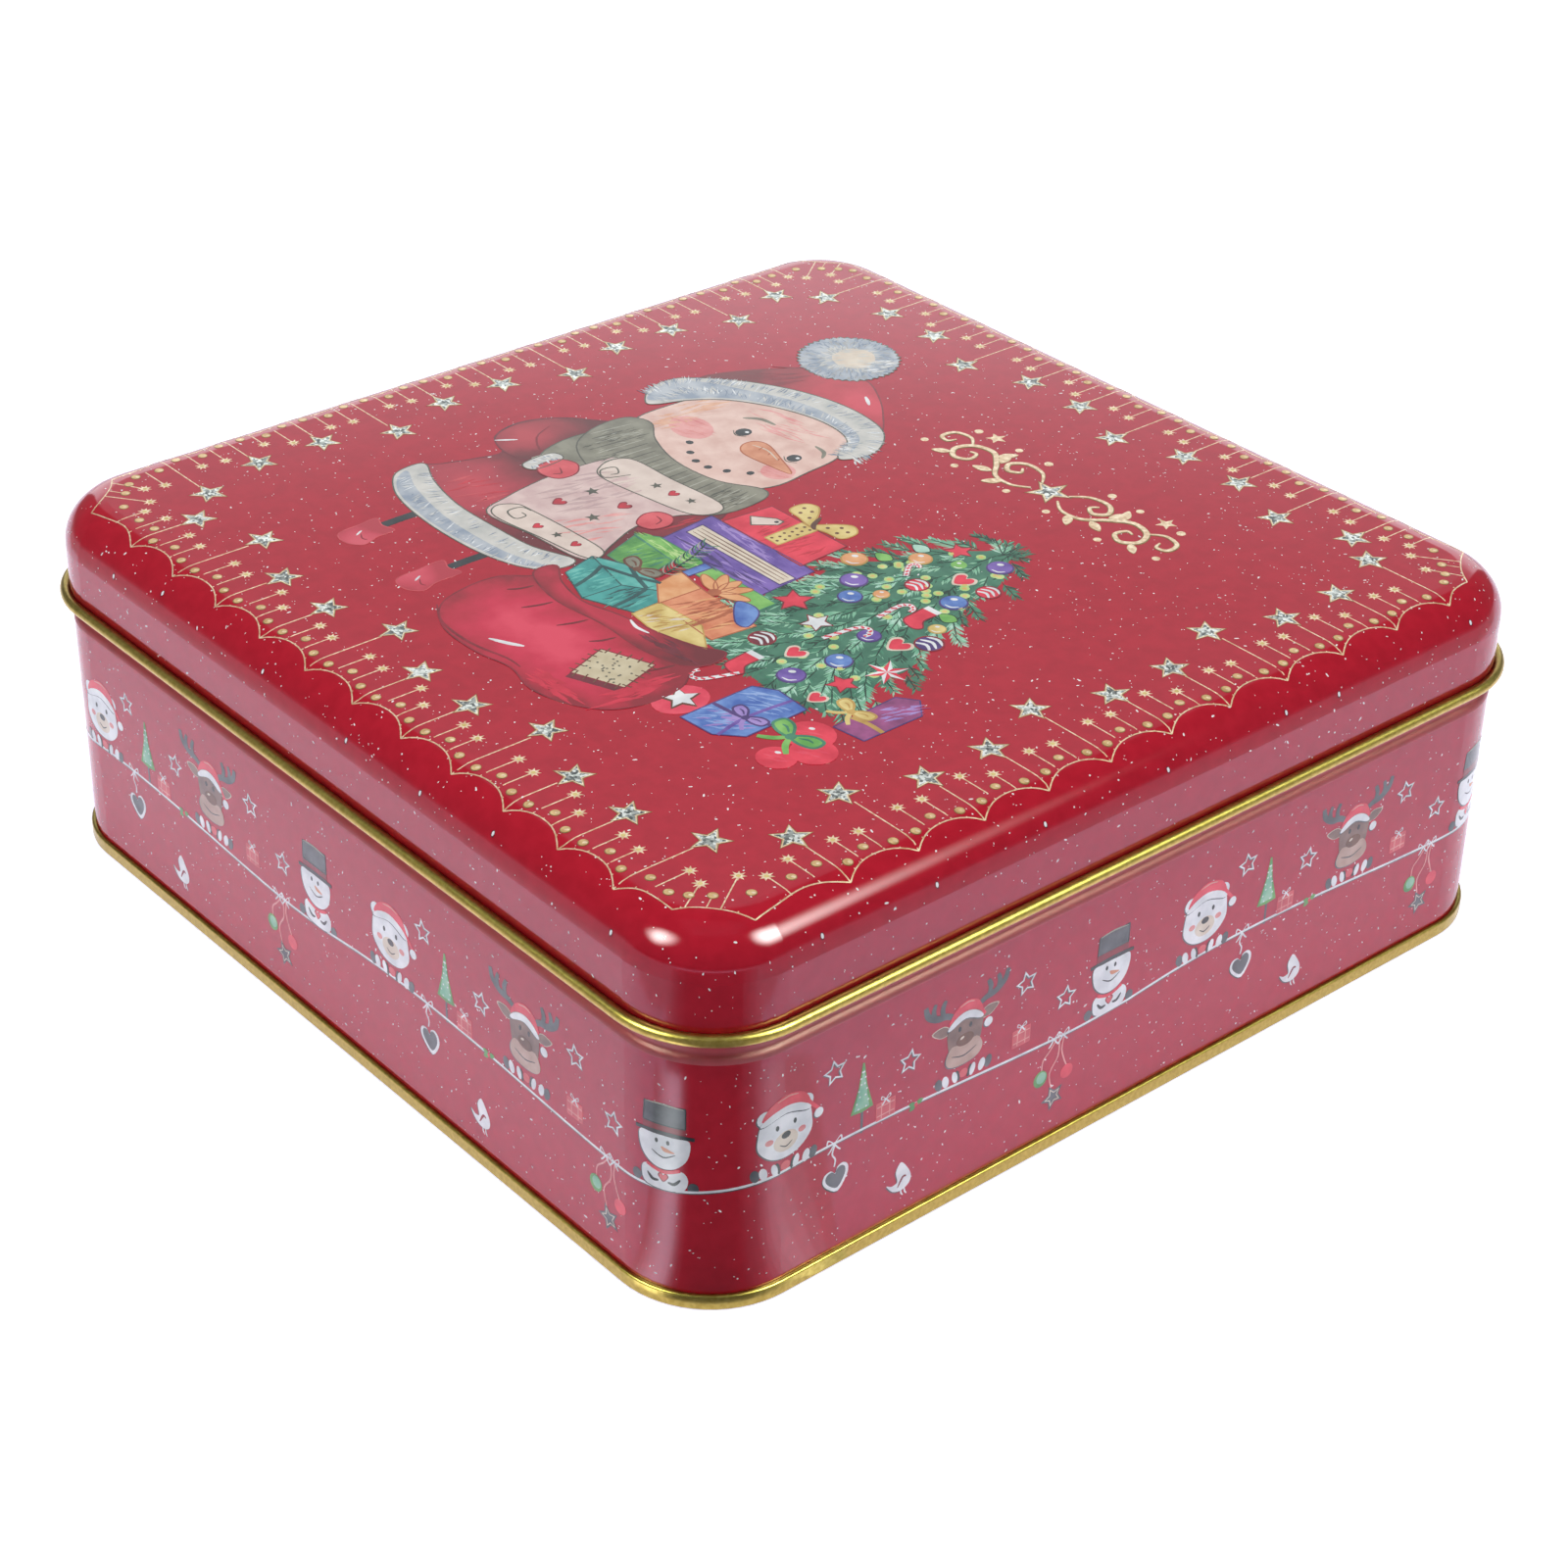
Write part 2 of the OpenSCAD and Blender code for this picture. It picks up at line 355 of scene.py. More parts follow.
class Print:
    """Ink drawn flat, in millimetres, as thin slabs that are later laid on the tin."""

    def __init__(self, name):
        self.name, self.verts, self.faces, self.face_inks, self.inks = name, [], [], [], []
        self.lift = random.Random(SEED)

    def height(self, level):
        """A level's height and a little more, so that no two overlapping tops are level."""
        return INK_BASE + (level + 0.85 * self.lift.random()) * LEVEL

    def _add(self, bottoms, tops, quads_of_tops, rim, ink):
        """Adds a slab from its outline points and its top faces. rim lists its edge pairs."""
        start, n = len(self.verts), len(bottoms)
        self.verts += bottoms + tops
        if ink not in self.inks:
            self.inks.append(ink)
        new = [tuple(start + n + i for i in face) for face in quads_of_tops]
        new += [tuple(start + i for i in reversed(face)) for face in quads_of_tops]
        new += [(start + a, start + b, start + n + b, start + n + a) for a, b in rim]
        self.faces += new
        self.face_inks += [self.inks.index(ink)] * len(new)

    def slab(self, outline, ink, level):
        """A filled outline, in either turning direction."""
        area = sum(a[0] * b[1] - b[0] * a[1] for a, b in zip(outline, outline[1:] + outline[:1]))
        points = outline if area > 0 else outline[::-1]
        n, top = len(points), self.height(level)
        self._add([(x, y, 0) for x, y in points], [(x, y, top) for x, y in points],
                  [tuple(range(n))], [(i, (i + 1) % n) for i in range(n)], ink)

    def band(self, left, right, ink, level, closed=False):
        """A strip between two lines of the same number of points. An open one slopes a little."""
        n, both = len(left), left + right
        first = self.height(level)
        rise = 0 if closed else (self.height(level) - first) / (n - 1)
        tops = [(x, y, first + rise * (i % n)) for i, (x, y) in enumerate(both)]
        last = n if closed else n - 1
        quads = [(n + i, n + (i + 1) % n, (i + 1) % n, i) for i in range(last)]
        rim = [(n + i, n + (i + 1) % n) for i in range(last)]
        rim += [((i + 1) % n, i) for i in range(last)]
        if not closed:
            rim += [(0, n), (2 * n - 1, n - 1)]
        self._add([(x, y, 0) for x, y in both], tops, quads, rim, ink)

    def stroke(self, path, width, ink, level, taper=0.0, closed=False):
        """A brush line along path. taper 1 thins both of its ends to nothing."""
        left, right, n = [], [], len(path)
        for i, (x, y) in enumerate(path):
            ax, ay = path[(i - 1) % n] if closed or i else path[i]
            bx, by = path[(i + 1) % n] if closed or i < n - 1 else path[i]
            length = math.hypot(bx - ax, by - ay) or 1
            t = i / (n - 1)
            w = width / 2 * (1 - taper * (2 * t - 1) ** 2 * 0.9)
            ox, oy = -(by - ay) / length * w, (bx - ax) / length * w
            left.append((x + ox, y + oy))
            right.append((x - ox, y - oy))
        self.band(left, right, ink, level, closed)

    def line(self, points, width, ink, level, taper=0.7):
        """A smooth brush line through a few points."""
        self.stroke(smooth(points, False, 4), width, ink, level, taper)

    def blob(self, points, ink, level, edge=None, edge_w=0.3):
        """A filled smooth outline, with a thin line round it if edge names its ink."""
        outline = smooth(points, per=5)
        self.slab(outline, ink, level)
        if edge:
            self.stroke(outline, edge_w, edge, level + 1, closed=True)

    def poly(self, points, ink, level, edge=None, edge_w=0.3):
        """The same with straight sides."""
        self.slab(points, ink, level)
        if edge:
            for a, b in zip(points, points[1:] + points[:1]):
                self.stroke([a, b], edge_w, edge, level + 1)

    def ring(self, outline, inset, ink, level):
        """A line round an outline, made of it and a copy scaled in about its middle."""
        cx = sum(x for x, _ in outline) / len(outline)
        cy = sum(y for _, y in outline) / len(outline)
        inner = [(cx + (x - cx) * inset, cy + (y - cy) * inset) for x, y in outline]
        self.band(inner, outline, ink, level, closed=True)

    def lay(self, place, body, slot, cuts=()):
        """Makes the piece: place turns (x, y, height) in millimetres into a point on the tin."""
        mesh = bpy.data.meshes.new(self.name)
        mesh.from_pydata(self.verts, [], self.faces)
        mesh.polygons.foreach_set("material_index", self.face_inks)
        if cuts:
            bm = bmesh.new()
            bm.from_mesh(mesh)
            bmesh.ops.triangulate(bm, faces=bm.faces[:])
            for cut in cuts:
                bmesh.ops.bisect_plane(bm, geom=bm.verts[:] + bm.edges[:] + bm.faces[:],
                                       plane_co=(cut, 0, 0), plane_no=(1, 0, 0))
            bm.to_mesh(mesh)
            bm.free()
        for vert in mesh.vertices:
            vert.co = place(*vert.co) * MM
        for ink in self.inks:
            if ink not in materials:
                materials[ink] = ink_material(ink)
            mesh.materials.append(materials[ink])
        mesh.polygons.foreach_set("use_smooth", [True] * len(mesh.polygons))
        mesh.set_sharp_from_angle(angle=math.radians(25))
        obj = bpy.data.objects.new(self.name, mesh)
        bpy.context.scene.collection.objects.link(obj)
        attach(obj, body)
        return obj


def smooth(points, closed=True, per=6):
    """A curve through the points (Catmull-Rom), with per steps between each two."""
    n, curve = len(points), []
    for i in range(n if closed else n - 1):
        if closed:
            a, b, c, d = (points[(i + k) % n] for k in (-1, 0, 1, 2))
        else:
            a, b, c, d = (points[min(max(i + k, 0), n - 1)] for k in (-1, 0, 1, 2))
        for k in range(per):
            t = k / per
            curve.append(tuple(
                0.5 * (2 * q + (r - p) * t + (2 * p - 5 * q + 4 * r - s) * t * t
                       + (3 * q - p - 3 * r + s) * t ** 3)
                for p, q, r, s in zip(a, b, c, d)))
    return curve if closed else curve + [points[-1]]


def oval(x, y, rx, ry=None, turn=0, sides=24):
    """An oval about x and y, or a circle where ry is left out."""
    ry = ry or rx
    c, s = math.cos(math.radians(turn)), math.sin(math.radians(turn))
    ring = [(rx * math.cos(2 * math.pi * i / sides), ry * math.sin(2 * math.pi * i / sides))
            for i in range(sides)]
    return [(x + u * c - v * s, y + u * s + v * c) for u, v in ring]


def star(x, y, tips, reach, waist, turn=90):
    """A star whose tips are reach from its middle, and its inner corners waist."""
    points = []
    for i in range(tips * 2):
        a = math.radians(turn + 180 * i / tips)
        r = reach if i % 2 == 0 else waist
        points.append((x + r * math.cos(a), y + r * math.sin(a)))
    return points


def ragged(x, y, rx, ry, tips, depth, chance):
    """A furry outline: an oval whose edge comes in and out at random."""
    points = []
    for i in range(tips * 2):
        a = 2 * math.pi * i / (tips * 2)
        r = 1 - depth * (i % 2) - depth * 0.6 * chance.random()
        points.append((x + rx * r * math.cos(a), y + ry * r * math.sin(a)))
    return points


def turned(points, quarter):
    """The points turned by quarter right angles about the tin's middle."""
    for _ in range(quarter):
        points = [(-y, x) for x, y in points]
    return points


def spun(x, y, size, turn, *points):
    """The points of a small shape drawn to a scale of 1, at its own place, size and turn."""
    c, s = math.cos(math.radians(turn)), math.sin(math.radians(turn))
    return [(x + size * (u * c - v * s), y + size * (u * s + v * c)) for u, v in points]


def shifted(points, dx, dy):
    """The points moved along by dx and dy."""
    return [(x + dx, y + dy) for x, y in points]


def on_lid(x, y, height):
    """Where flat print lands on the lid: on its top, round its shoulder or down its skirt."""
    over = Vector((math.copysign(max(abs(x) - STRAIGHT_HALF, 0), x),
                   math.copysign(max(abs(y) - STRAIGHT_HALF, 0), y), 0))
    beyond = over.length - (FLAT_HALF - STRAIGHT_HALF)
    if beyond <= 0:
        return Vector((x, y, LID_TOP + height))
    out = over.normalized()
    foot = Vector((x, y, 0)) - out * beyond
    bend_length = SHOULDER_R * math.pi / 2
    angle = min(beyond, bend_length) / SHOULDER_R
    drop = max(beyond - bend_length, 0)
    r = SHOULDER_R + height
    foot += out * r * math.sin(angle)
    return foot + Vector((0, 0, LID_TOP - SHOULDER_R + r * math.cos(angle) - drop))


STRAIGHT = 2 * STRAIGHT_HALF
CORNER_ARC = CORNER_R * math.pi / 2
ROUND = 4 * (STRAIGHT + CORNER_ARC)
CORNER_FLATS = 24  # every layer of print bends along the same narrow flats, so none cuts another


def on_corner(flat, z, height):
    """Where one of the corner's flats begins, at z and at a height off the wall."""
    angle = math.pi / 2 * flat / CORNER_FLATS
    r = CORNER_R + height
    return Vector((STRAIGHT / 2 + r * math.sin(angle), -STRAIGHT / 2 - r * math.cos(angle), z))


def on_wall(along, z, height):
    """along runs round the wall from the middle of the front, towards +X first."""
    along = (along + STRAIGHT / 2) % ROUND
    quarter, along = divmod(along, STRAIGHT + CORNER_ARC)
    if along < STRAIGHT:
        point = Vector((along - STRAIGHT / 2, -WALL_HALF - height, z))
    else:
        flat, part = divmod((along - STRAIGHT) / CORNER_ARC * CORNER_FLATS, 1)
        point = on_corner(flat, z, height).lerp(on_corner(flat + 1, z, height), part)
    return Matrix.Rotation(math.radians(90 * quarter), 3, "Z") @ point


# ---------------------------------------------------------------- lid: border

border = Print("lid_border_print")
CUSP_STEP = 14.35
FIRST_CUSP = -69.0
CUSPS = 11
SIDE_SHIFTS = (0, 3, 0, 0)  # the border on the +X side starts this much further along
CUSP_Y = -96.2
CREST_Y = -93.3
LINE_W = 0.25
CUSP_ROOM = 2.3  # nothing hangs nearer than this after a cusp


def small_star(x, y, foot):
    """An eight-pointed star on a thread from its foot."""
    border.stroke([(x + (foot[0] - x) * t / 4, y + (foot[1] - y) * t / 4) for t in range(5)],
                  0.24, "foil", 1)
    border.slab(star(x, y, 8, 1.40, 0.66), "foil", 2)
    border.slab(oval(x, y, 0.42, sides=8), "yellow", 3)


def dot(x, y, foot):
    """A gold bead on a thread from its foot."""
    border.stroke([(x, y), foot], 0.2, "foil", 1)
    border.slab(oval(x, y, 0.94, sides=14), "foil_dark", 2)
    border.slab(oval(x - 0.05, y + 0.07, 0.82, sides=14), "bronze", 3)
    border.slab(oval(x + 0.18, y + 0.26, 0.42, 0.30, 30, 8), "foil", 4)


def big_star(x, y, turn):
    """A gold star with a raised middle of glitter."""
    border.slab(star(x, y, 5, 3.9, 1.75, turn), "foil_dark", 1)
    border.slab(star(x, y, 5, 3.6, 1.55, turn), "foil", 2)
    outline = star(x, y, 5, 3.0, 1.25, turn)
    peak = (x, y)
    for i in range(10):
        border.slab([outline[i], outline[(i + 1) % 10], peak], "glitter", 3 + i % 2)


def crest(t):
    """Height of the scalloped line, t of the way from one cusp to the next."""
    return CUSP_Y + (CREST_Y - CUSP_Y) * (1 - abs(2 * t - 1) ** 2.2)


for quarter in range(4):
    first = FIRST_CUSP + SIDE_SHIFTS[quarter]
    next_shift = SIDE_SHIFTS[(quarter + 1) % 4]

    def put(*point):
        return turned([point], quarter)[0]

    for k in range(CUSPS):
        x = first + CUSP_STEP * k
        is_far = k % 3 == 1
        star_y = -76.7 if is_far else -81.8
        strand = [(x + 0.35 * (k % 2), CUSP_Y + (star_y - 3.4 - CUSP_Y) * i / 9) for i in range(10)]
        strand[0] = (x, CUSP_Y)
        border.stroke(turned(strand, quarter), LINE_W, "foil", 1)
        big_star(*put(x, star_y), turn=90 * quarter - 90 + (3, -5, 8)[k % 3])
        if k == CUSPS - 1:
            continue
        scallop = [(x + CUSP_STEP * i / 12, crest(i / 12)) for i in range(13)]
        border.stroke(turned(scallop, quarter), LINE_W, "foil", 1)
        tall = (k % 3) * 0.7
        for along, rise, draw in ((CUSP_ROOM, 1.9, dot), (4.6, 7.2 + tall, small_star),
                                  (7.0, 2.4, dot), (9.4, 5.6 + 0.8 * ((k + 1) % 3), small_star),
                                  (11.9, 1.9, dot)):
            foot_y = crest(along / CUSP_STEP)
            draw(*put(x + along, foot_y + rise), put(x + along, foot_y))

    # The corner: a low run to a point, a scallop across, and a low run to the next side's cusp.
    last = first + CUSP_STEP * (CUSPS - 1)
    tip_a, tip_b = (85.6, -93.2), (95.2, -84.6)

    def stretch(y):
        """The low run to the next side is drawn out to meet that side's first cusp."""
        return y + next_shift * max(y - tip_b[1], 0) / (FIRST_CUSP - tip_b[1])

    run_in = smooth([(last, CUSP_Y), (last + 3, -94.0), (last + 6, CREST_Y), tip_a], False)
    across = smooth([tip_a, (87.8, -90.0), (91.4, -86.9), tip_b], False)
    run_out = smooth([(x, stretch(y)) for x, y in
                      (tip_b, (94.4, -80.5), (93.6, -76.0), (94.2, -72.6), (96.2, FIRST_CUSP))],
                     False)
    for line in (run_in, across, run_out):
        border.stroke(turned(line, quarter), LINE_W, "foil", 1)
    for x, y, fx, fy, draw in (
            (76.9, -90.6, 77.3, -93.9, dot), (79.2, -84.6, 79.4, -93.4, small_star),
            (81.8, -90.9, 81.9, -93.3, dot), (83.0, -85.6, 86.6, -91.6, small_star),
            (84.4, -89.0, 86.2, -92.2, dot), (86.8, -86.2, 88.6, -88.9, dot),
            (85.0, -80.4, 90.4, -87.6, small_star), (89.9, -81.6, 92.6, -86.0, dot),
            (87.8, -77.6, 94.0, -77.6, small_star), (90.4, -75.2, 93.7, -75.3, dot),
            (86.2, -72.8, 94.1, -72.8, small_star), (90.0, -70.6, 95.2, -70.6, dot)):
        if x > last + CUSP_ROOM:
            draw(*put(x, stretch(y)), put(fx, stretch(fy)))

border.lay(on_lid, "lid", "lid_print")

# ---------------------------------------------------------------- lid: the picture

picture = Print("lid_picture_print")
chance = random.Random(SEED + 2)


def hatch(x, y, rx, ry, angle, count, length, width, inks, level):
    """Loose brush strokes inside an oval, all about the same way."""
    for _ in range(count):
        a, r = chance.uniform(0, 2 * math.pi), math.sqrt(chance.random())
        cx, cy = x + rx * r * math.cos(a), y + ry * r * math.sin(a)
        t = math.radians(angle + chance.uniform(-14, 14))
        half = length / 2 * chance.uniform(0.6, 1.25)
        dx, dy = half * math.cos(t), half * math.sin(t)
        sag = chance.uniform(-0.12, 0.12)
        picture.stroke([(cx - dx, cy - dy), (cx - dy * sag, cy + dx * sag), (cx + dx, cy + dy)],
                       width * chance.uniform(0.6, 1.2), chance.choice(inks), level, taper=1)


def fur(path, reach, count, inks, level, width=0.32):
    """Short hairs along a path, standing off it to both sides."""
    for _ in range(count):
        i = chance.randrange(len(path) - 1)
        (ax, ay), (bx, by) = path[i], path[i + 1]
        t, side = chance.random(), chance.choice((-1, 1))
        x, y = ax + (bx - ax) * t, ay + (by - ay) * t
        lean = math.atan2(by - ay, bx - ax) + side * chance.uniform(0.9, 1.7)
        start, end = reach * chance.uniform(0.0, 0.65), reach * chance.uniform(0.75, 1.08)
        points = [(x + r * math.cos(lean), y + r * math.sin(lean))
                  for r in (start, (start + end) / 2, end)]
        picture.stroke(points, width * chance.uniform(0.7, 1.3), chance.choice(inks), level, 1)


def ball(x, y, r, ink, edge, level):
    """A painted bauble: its colour, a darker rim and a glint."""
    picture.slab(oval(x, y, r, sides=20), edge, level)
    picture.slab(oval(x - r * 0.06, y + r * 0.06, r * 0.88, sides=20), ink, level + 1)
    picture.slab(oval(x - r * 0.34, y + r * 0.36, r * 0.26, r * 0.18, 40, 10), "white", level + 2)
    picture.line([(x - r * 0.2, y - r * 0.62), (x + r * 0.35, y - r * 0.52),
                  (x + r * 0.62, y - r * 0.1)], r * 0.14, "white", level + 2)


def striped_ball(x, y, r, ink, level):
    """A bauble with three white stripes."""
    picture.slab(oval(x, y, r, sides=20), ink, level)
    for k in (-0.55, 0.0, 0.55):
        picture.line([(x - r * 0.75, y + r * (k - 0.1)), (x, y + r * (k * 0.9 + 0.25)),
                      (x + r * 0.75, y + r * (k - 0.1))], r * 0.24, "white", level + 1)
    picture.ring(oval(x, y, r, sides=20), 0.86, "red_deep", level + 2)


def heart(x, y, size, ink, edge, level, of=None):
    """A heart with an edge round it, on the picture or on another print."""
    of = of or picture
    points = [(0, -1.0), (0.75, -0.25), (1.0, 0.35), (0.7, 0.85), (0.25, 0.8), (0, 0.45),
              (-0.25, 0.8), (-0.7, 0.85), (-1.0, 0.35), (-0.75, -0.25)]
    outline = smooth([(x + u * size, y + v * size) for u, v in points], per=3)
    of.slab(outline, edge, level)
    of.slab([(x + (px - x) * 0.78, y + (py - y) * 0.78) for px, py in outline], ink, level + 1)


def cane(x, y, tall, level, turn=0):
    """A striped candy cane, its crook at the top right."""
    path = smooth(spun(x, y, tall / 2, turn, (0, -1.0), (0, -0.4), (0, 0.3), (0.1, 0.75),
                       (0.4, 0.95), (0.72, 0.75), (0.75, 0.45)), False, 3)
    picture.stroke(path, 1.25, "red_deep", level)
    picture.stroke(path, 0.95, "white", level + 1)
    for i in range(1, len(path) - 1, 2):
        (ax, ay), (bx, by) = path[i], path[i + 1]
        nx, ny = (by - ay) * 0.45, (ax - bx) * 0.45
        picture.stroke([(ax - nx, ay - ny), (bx + nx, by + ny)], 0.5, "red_bright", level + 2)


def bow(x, y, size, ink, edge, level, tails=True):
    """Two loops, a knot and two ribbon ends."""
    for side in (-1, 1):
        loop = [(x, y), (x + side * size * 0.45, y + size * 0.55),
                (x + side * size, y + size * 0.6), (x + side * size * 1.05, y + size * 0.1),
                (x + side * size * 0.5, y - size * 0.12)]
        picture.blob(loop, ink, level, edge, size * 0.12)
        picture.line([(x + side * size * 0.25, y + size * 0.12),
                      (x + side * size * 0.55, y + size * 0.3),
                      (x + side * size * 0.8, y + size * 0.3)], size * 0.1, edge, level + 1)
        if tails:
            picture.line([(x, y), (x + side * size * 0.3, y - size * 0.5),
                          (x + side * size * 0.75, y - size * 0.85)], size * 0.24, ink, level, 0.3)
    picture.slab(oval(x, y, size * 0.2, size * 0.22, sides=10), edge, level + 2)


def snow_figure():
    """A snowman in a long red coat and a bobble hat, who holds a decorated scroll."""
    # Legs and boots
    for x, toe in ((-46, -65.6), (-25, -67.2)):
        picture.stroke([(x, -47), (x - 0.1, -52), (x, -57)], 2.1, "charcoal", 0)
        picture.blob([(x - 3.0, -55.7), (x, -56.4), (x + 3.0, -55.7), (x + 3.2, toe + 6),
                      (x + 4.3, toe + 2.2), (x + 1.4, toe), (x - 2.2, toe + 1), (x - 2.8, toe + 6)],
                     "boot_wash", 1, "red_boot", 0.25)
        picture.line([(x + 0.4, toe + 4.2), (x + 2.0, toe + 3.4), (x + 3.0, toe + 3.8)], 0.3,
                     "red_deep", 3)
        picture.line([(x - 0.6, toe + 5.0), (x + 0.4, toe + 3.2)], 0.45, "white", 4)

    # Coat, darker towards the top left
    picture.blob([(-50, 5), (-58, 1), (-63.5, -5), (-65.5, -12), (-63, -18.5), (-57, -21),
                  (-58, -27), (-60, -33), (-61.5, -38.5), (-46, -43), (-28, -43), (-12, -39),
                  (-8, -28), (-8.5, -12), (-12, -2), (-30, 2)], "coat_wash", 0, "wine", 0.35)
    picture.blob([(-50, 5), (-58, 1), (-63.3, -5), (-65.2, -12), (-63, -18.3), (-57, -20.6),
                  (-51, -19), (-46, -13), (-43, -6)], "sleeve_wash", 2, "wine", 0.3)
    hatch(-48, -10, 3.6, 6, 70, 14, 6, 0.9, ("red_deep", "wine"), 3)
    hatch(-48, -34, 6, 3.6, 80, 12, 5, 0.8, ("red_boot", "red"), 2)
    picture.line([(-59.5, -15.5), (-62, -19.2)], 0.6, "white", 4)
    picture.line([(-45, -14), (-52, -15), (-58, -12), (-60.5, -7)], 0.45, "red_deep", 4)
    # Right sleeve
    picture.blob([(-13, -7), (-10, -5.5), (-8.5, -12), (-10.5, -18.5), (-16, -20.5), (-18, -14)],
                 "red_deep", 2, "wine", 0.3)
    hatch(-11.5, -12, 1.6, 4.5, 80, 8, 4, 0.6, ("red",), 4)

    # Fur hem
    hem = [(-62, -35.6), (-55, -38.4), (-44, -40.6), (-31, -40.4), (-22, -39.6), (-13.4, -36.6),
           (-12.4, -41), (-16.5, -45.6), (-26, -48.6), (-40, -49.4), (-53, -47.8), (-60.6, -44),
           (-62.8, -40)]
    picture.blob(hem, "fur_light", 3, "sage_dark", 0.28)
    picture.blob([(-61.4, -40), (-54, -43), (-40, -45.4), (-24, -44.8), (-15.4, -42.4),
                  (-18, -45.6), (-28, -48), (-42, -48.6), (-54, -46.8), (-60, -43.4)], "fur", 5)
    fur(smooth([(-60, -40), (-50, -43.6), (-37, -45), (-24, -44.4), (-15, -41)], False), 3.6, 190,
        ("fur_light", "fur", "fur_shade", "white"), 6, 0.26)

    # Scarf, head and face
    picture.blob([(-53.5, 16), (-52, 27), (-45, 34.5), (-33, 38), (-21, 36), (-15.4, 29), (-14, 20),
                  (-13.6, 10), (-20, 1), (-34, -3), (-47, 1), (-52.6, 8)], "snow_face", 3,
                 "sage_dark", 0.34)
    hatch(-48, 18, 4.2, 9, 76, 46, 6, 0.7, ("peach", "snow_face", "peach"), 5)
    hatch(-33, 29, 12, 3.5, 12, 40, 6, 0.6, ("snow_face", "pink_light"), 5)
    for x, y, rx, ry in ((-43, 14.5, 5.4, 4.0), (-17.8, 15.5, 3.4, 3.4)):
        picture.slab(oval(x, y, rx, ry, -8), "pink_light", 5)
        hatch(x, y, rx * 0.8, ry * 0.8, 20, 30, 3.6, 0.55, ("pink", "pink_light"), 6)
    for x, y, r in ((-35, 21.2, 1.55), (-20.2, 21.6, 1.4)):
        picture.slab(oval(x, y, r, r * 1.12, sides=16), "charcoal", 6)
        picture.slab(oval(x + 0.45, y + 0.5, 0.42, sides=8), "white", 7)
        picture.line([(x - 1.9, y - 1.0), (x, y - 2.0), (x + 1.9, y - 0.9)], 0.28, "sage_dark", 6)
    picture.line([(-40, 25.2), (-37.4, 27.6), (-33.6, 28.2)], 1.0, "sage", 7)
    picture.line([(-21.6, 28.2), (-18.6, 27.8), (-16.8, 25.8)], 0.9, "sage", 7)
    picture.blob([(-30.5, 20.4), (-27.6, 21.4), (-22, 19.6), (-15.4, 16.8), (-21.5, 15.6),
                  (-28, 15.2), (-30.8, 17.4)], "carrot", 7, "orange_dark", 0.3)
    for x in (-27.6, -24.8, -21.8):
        picture.line([(x, 20.0 - 0.12 * (x + 28)), (x + 0.5, 18.4)], 0.28, "orange_dark", 9)
    picture.line([(-29.6, 18.9), (-26, 19.7), (-21.5, 18.5)], 0.35, "cream", 9)
    for i in range(6):
        t = i / 5
        x = -38 + 17.5 * t
        y = 11.6 - 6.2 * math.sin(math.pi * (0.08 + 0.84 * t)) + 0.8 * t
        picture.slab(oval(x, y, 0.85, 0.75, 20 * i, 10), "charcoal", 6)

    scarf = [(-54.5, 7), (-49.5, 9.6), (-43, 5.6), (-33, 2.8), (-22, 3.8), (-14, 8.4), (-10.6, 6),
             (-10.4, -3), (-14.6, -9), (-26, -12.6), (-39, -12.4), (-50, -8.4), (-54.4, -1)]
    picture.blob([(-52.6, -2), (-45, -6), (-42.4, -13), (-44, -17), (-51, -16.4), (-53.8, -9)],
                 "sage", 5, "sage_dark", 0.3)
    for k in range(7):
        x = -51 + 1.25 * k
        picture.line([(x, -15.4), (x - 0.3, -18.2)], 0.6, "sage_light", 7, 0.4)
    picture.blob(scarf, "sage", 6, "sage_dark", 0.32)
    for k in range(23):
        t = (k + 0.5) / 23
        x = -53 + 41.6 * t
        dip = 6.2 * math.sin(math.pi * t)
        top, low = 7.2 - dip * 0.7, -2.6 - dip * 1.35
        lean = 1.5 * (t - 0.5)
        picture.line([(x - lean, top - 0.8), (x, (top + low) / 2), (x + lean, low + 0.4)], 0.34,
                     "sage_dark" if k % 2 else "sage_light", 8)
    hatch(-33, -6, 17, 3.0, 84, 130, 2.4, 0.36, ("sage_dark", "sage", "sage_light"), 9)
    hatch(-48, 1, 3.6, 5, 80, 44, 2.4, 0.4, ("sage_dark", "sage", "sage_light"), 9)
    hatch(-15, 0, 3.2, 5, 84, 36, 2.4, 0.36, ("sage_dark", "sage_light"), 9)

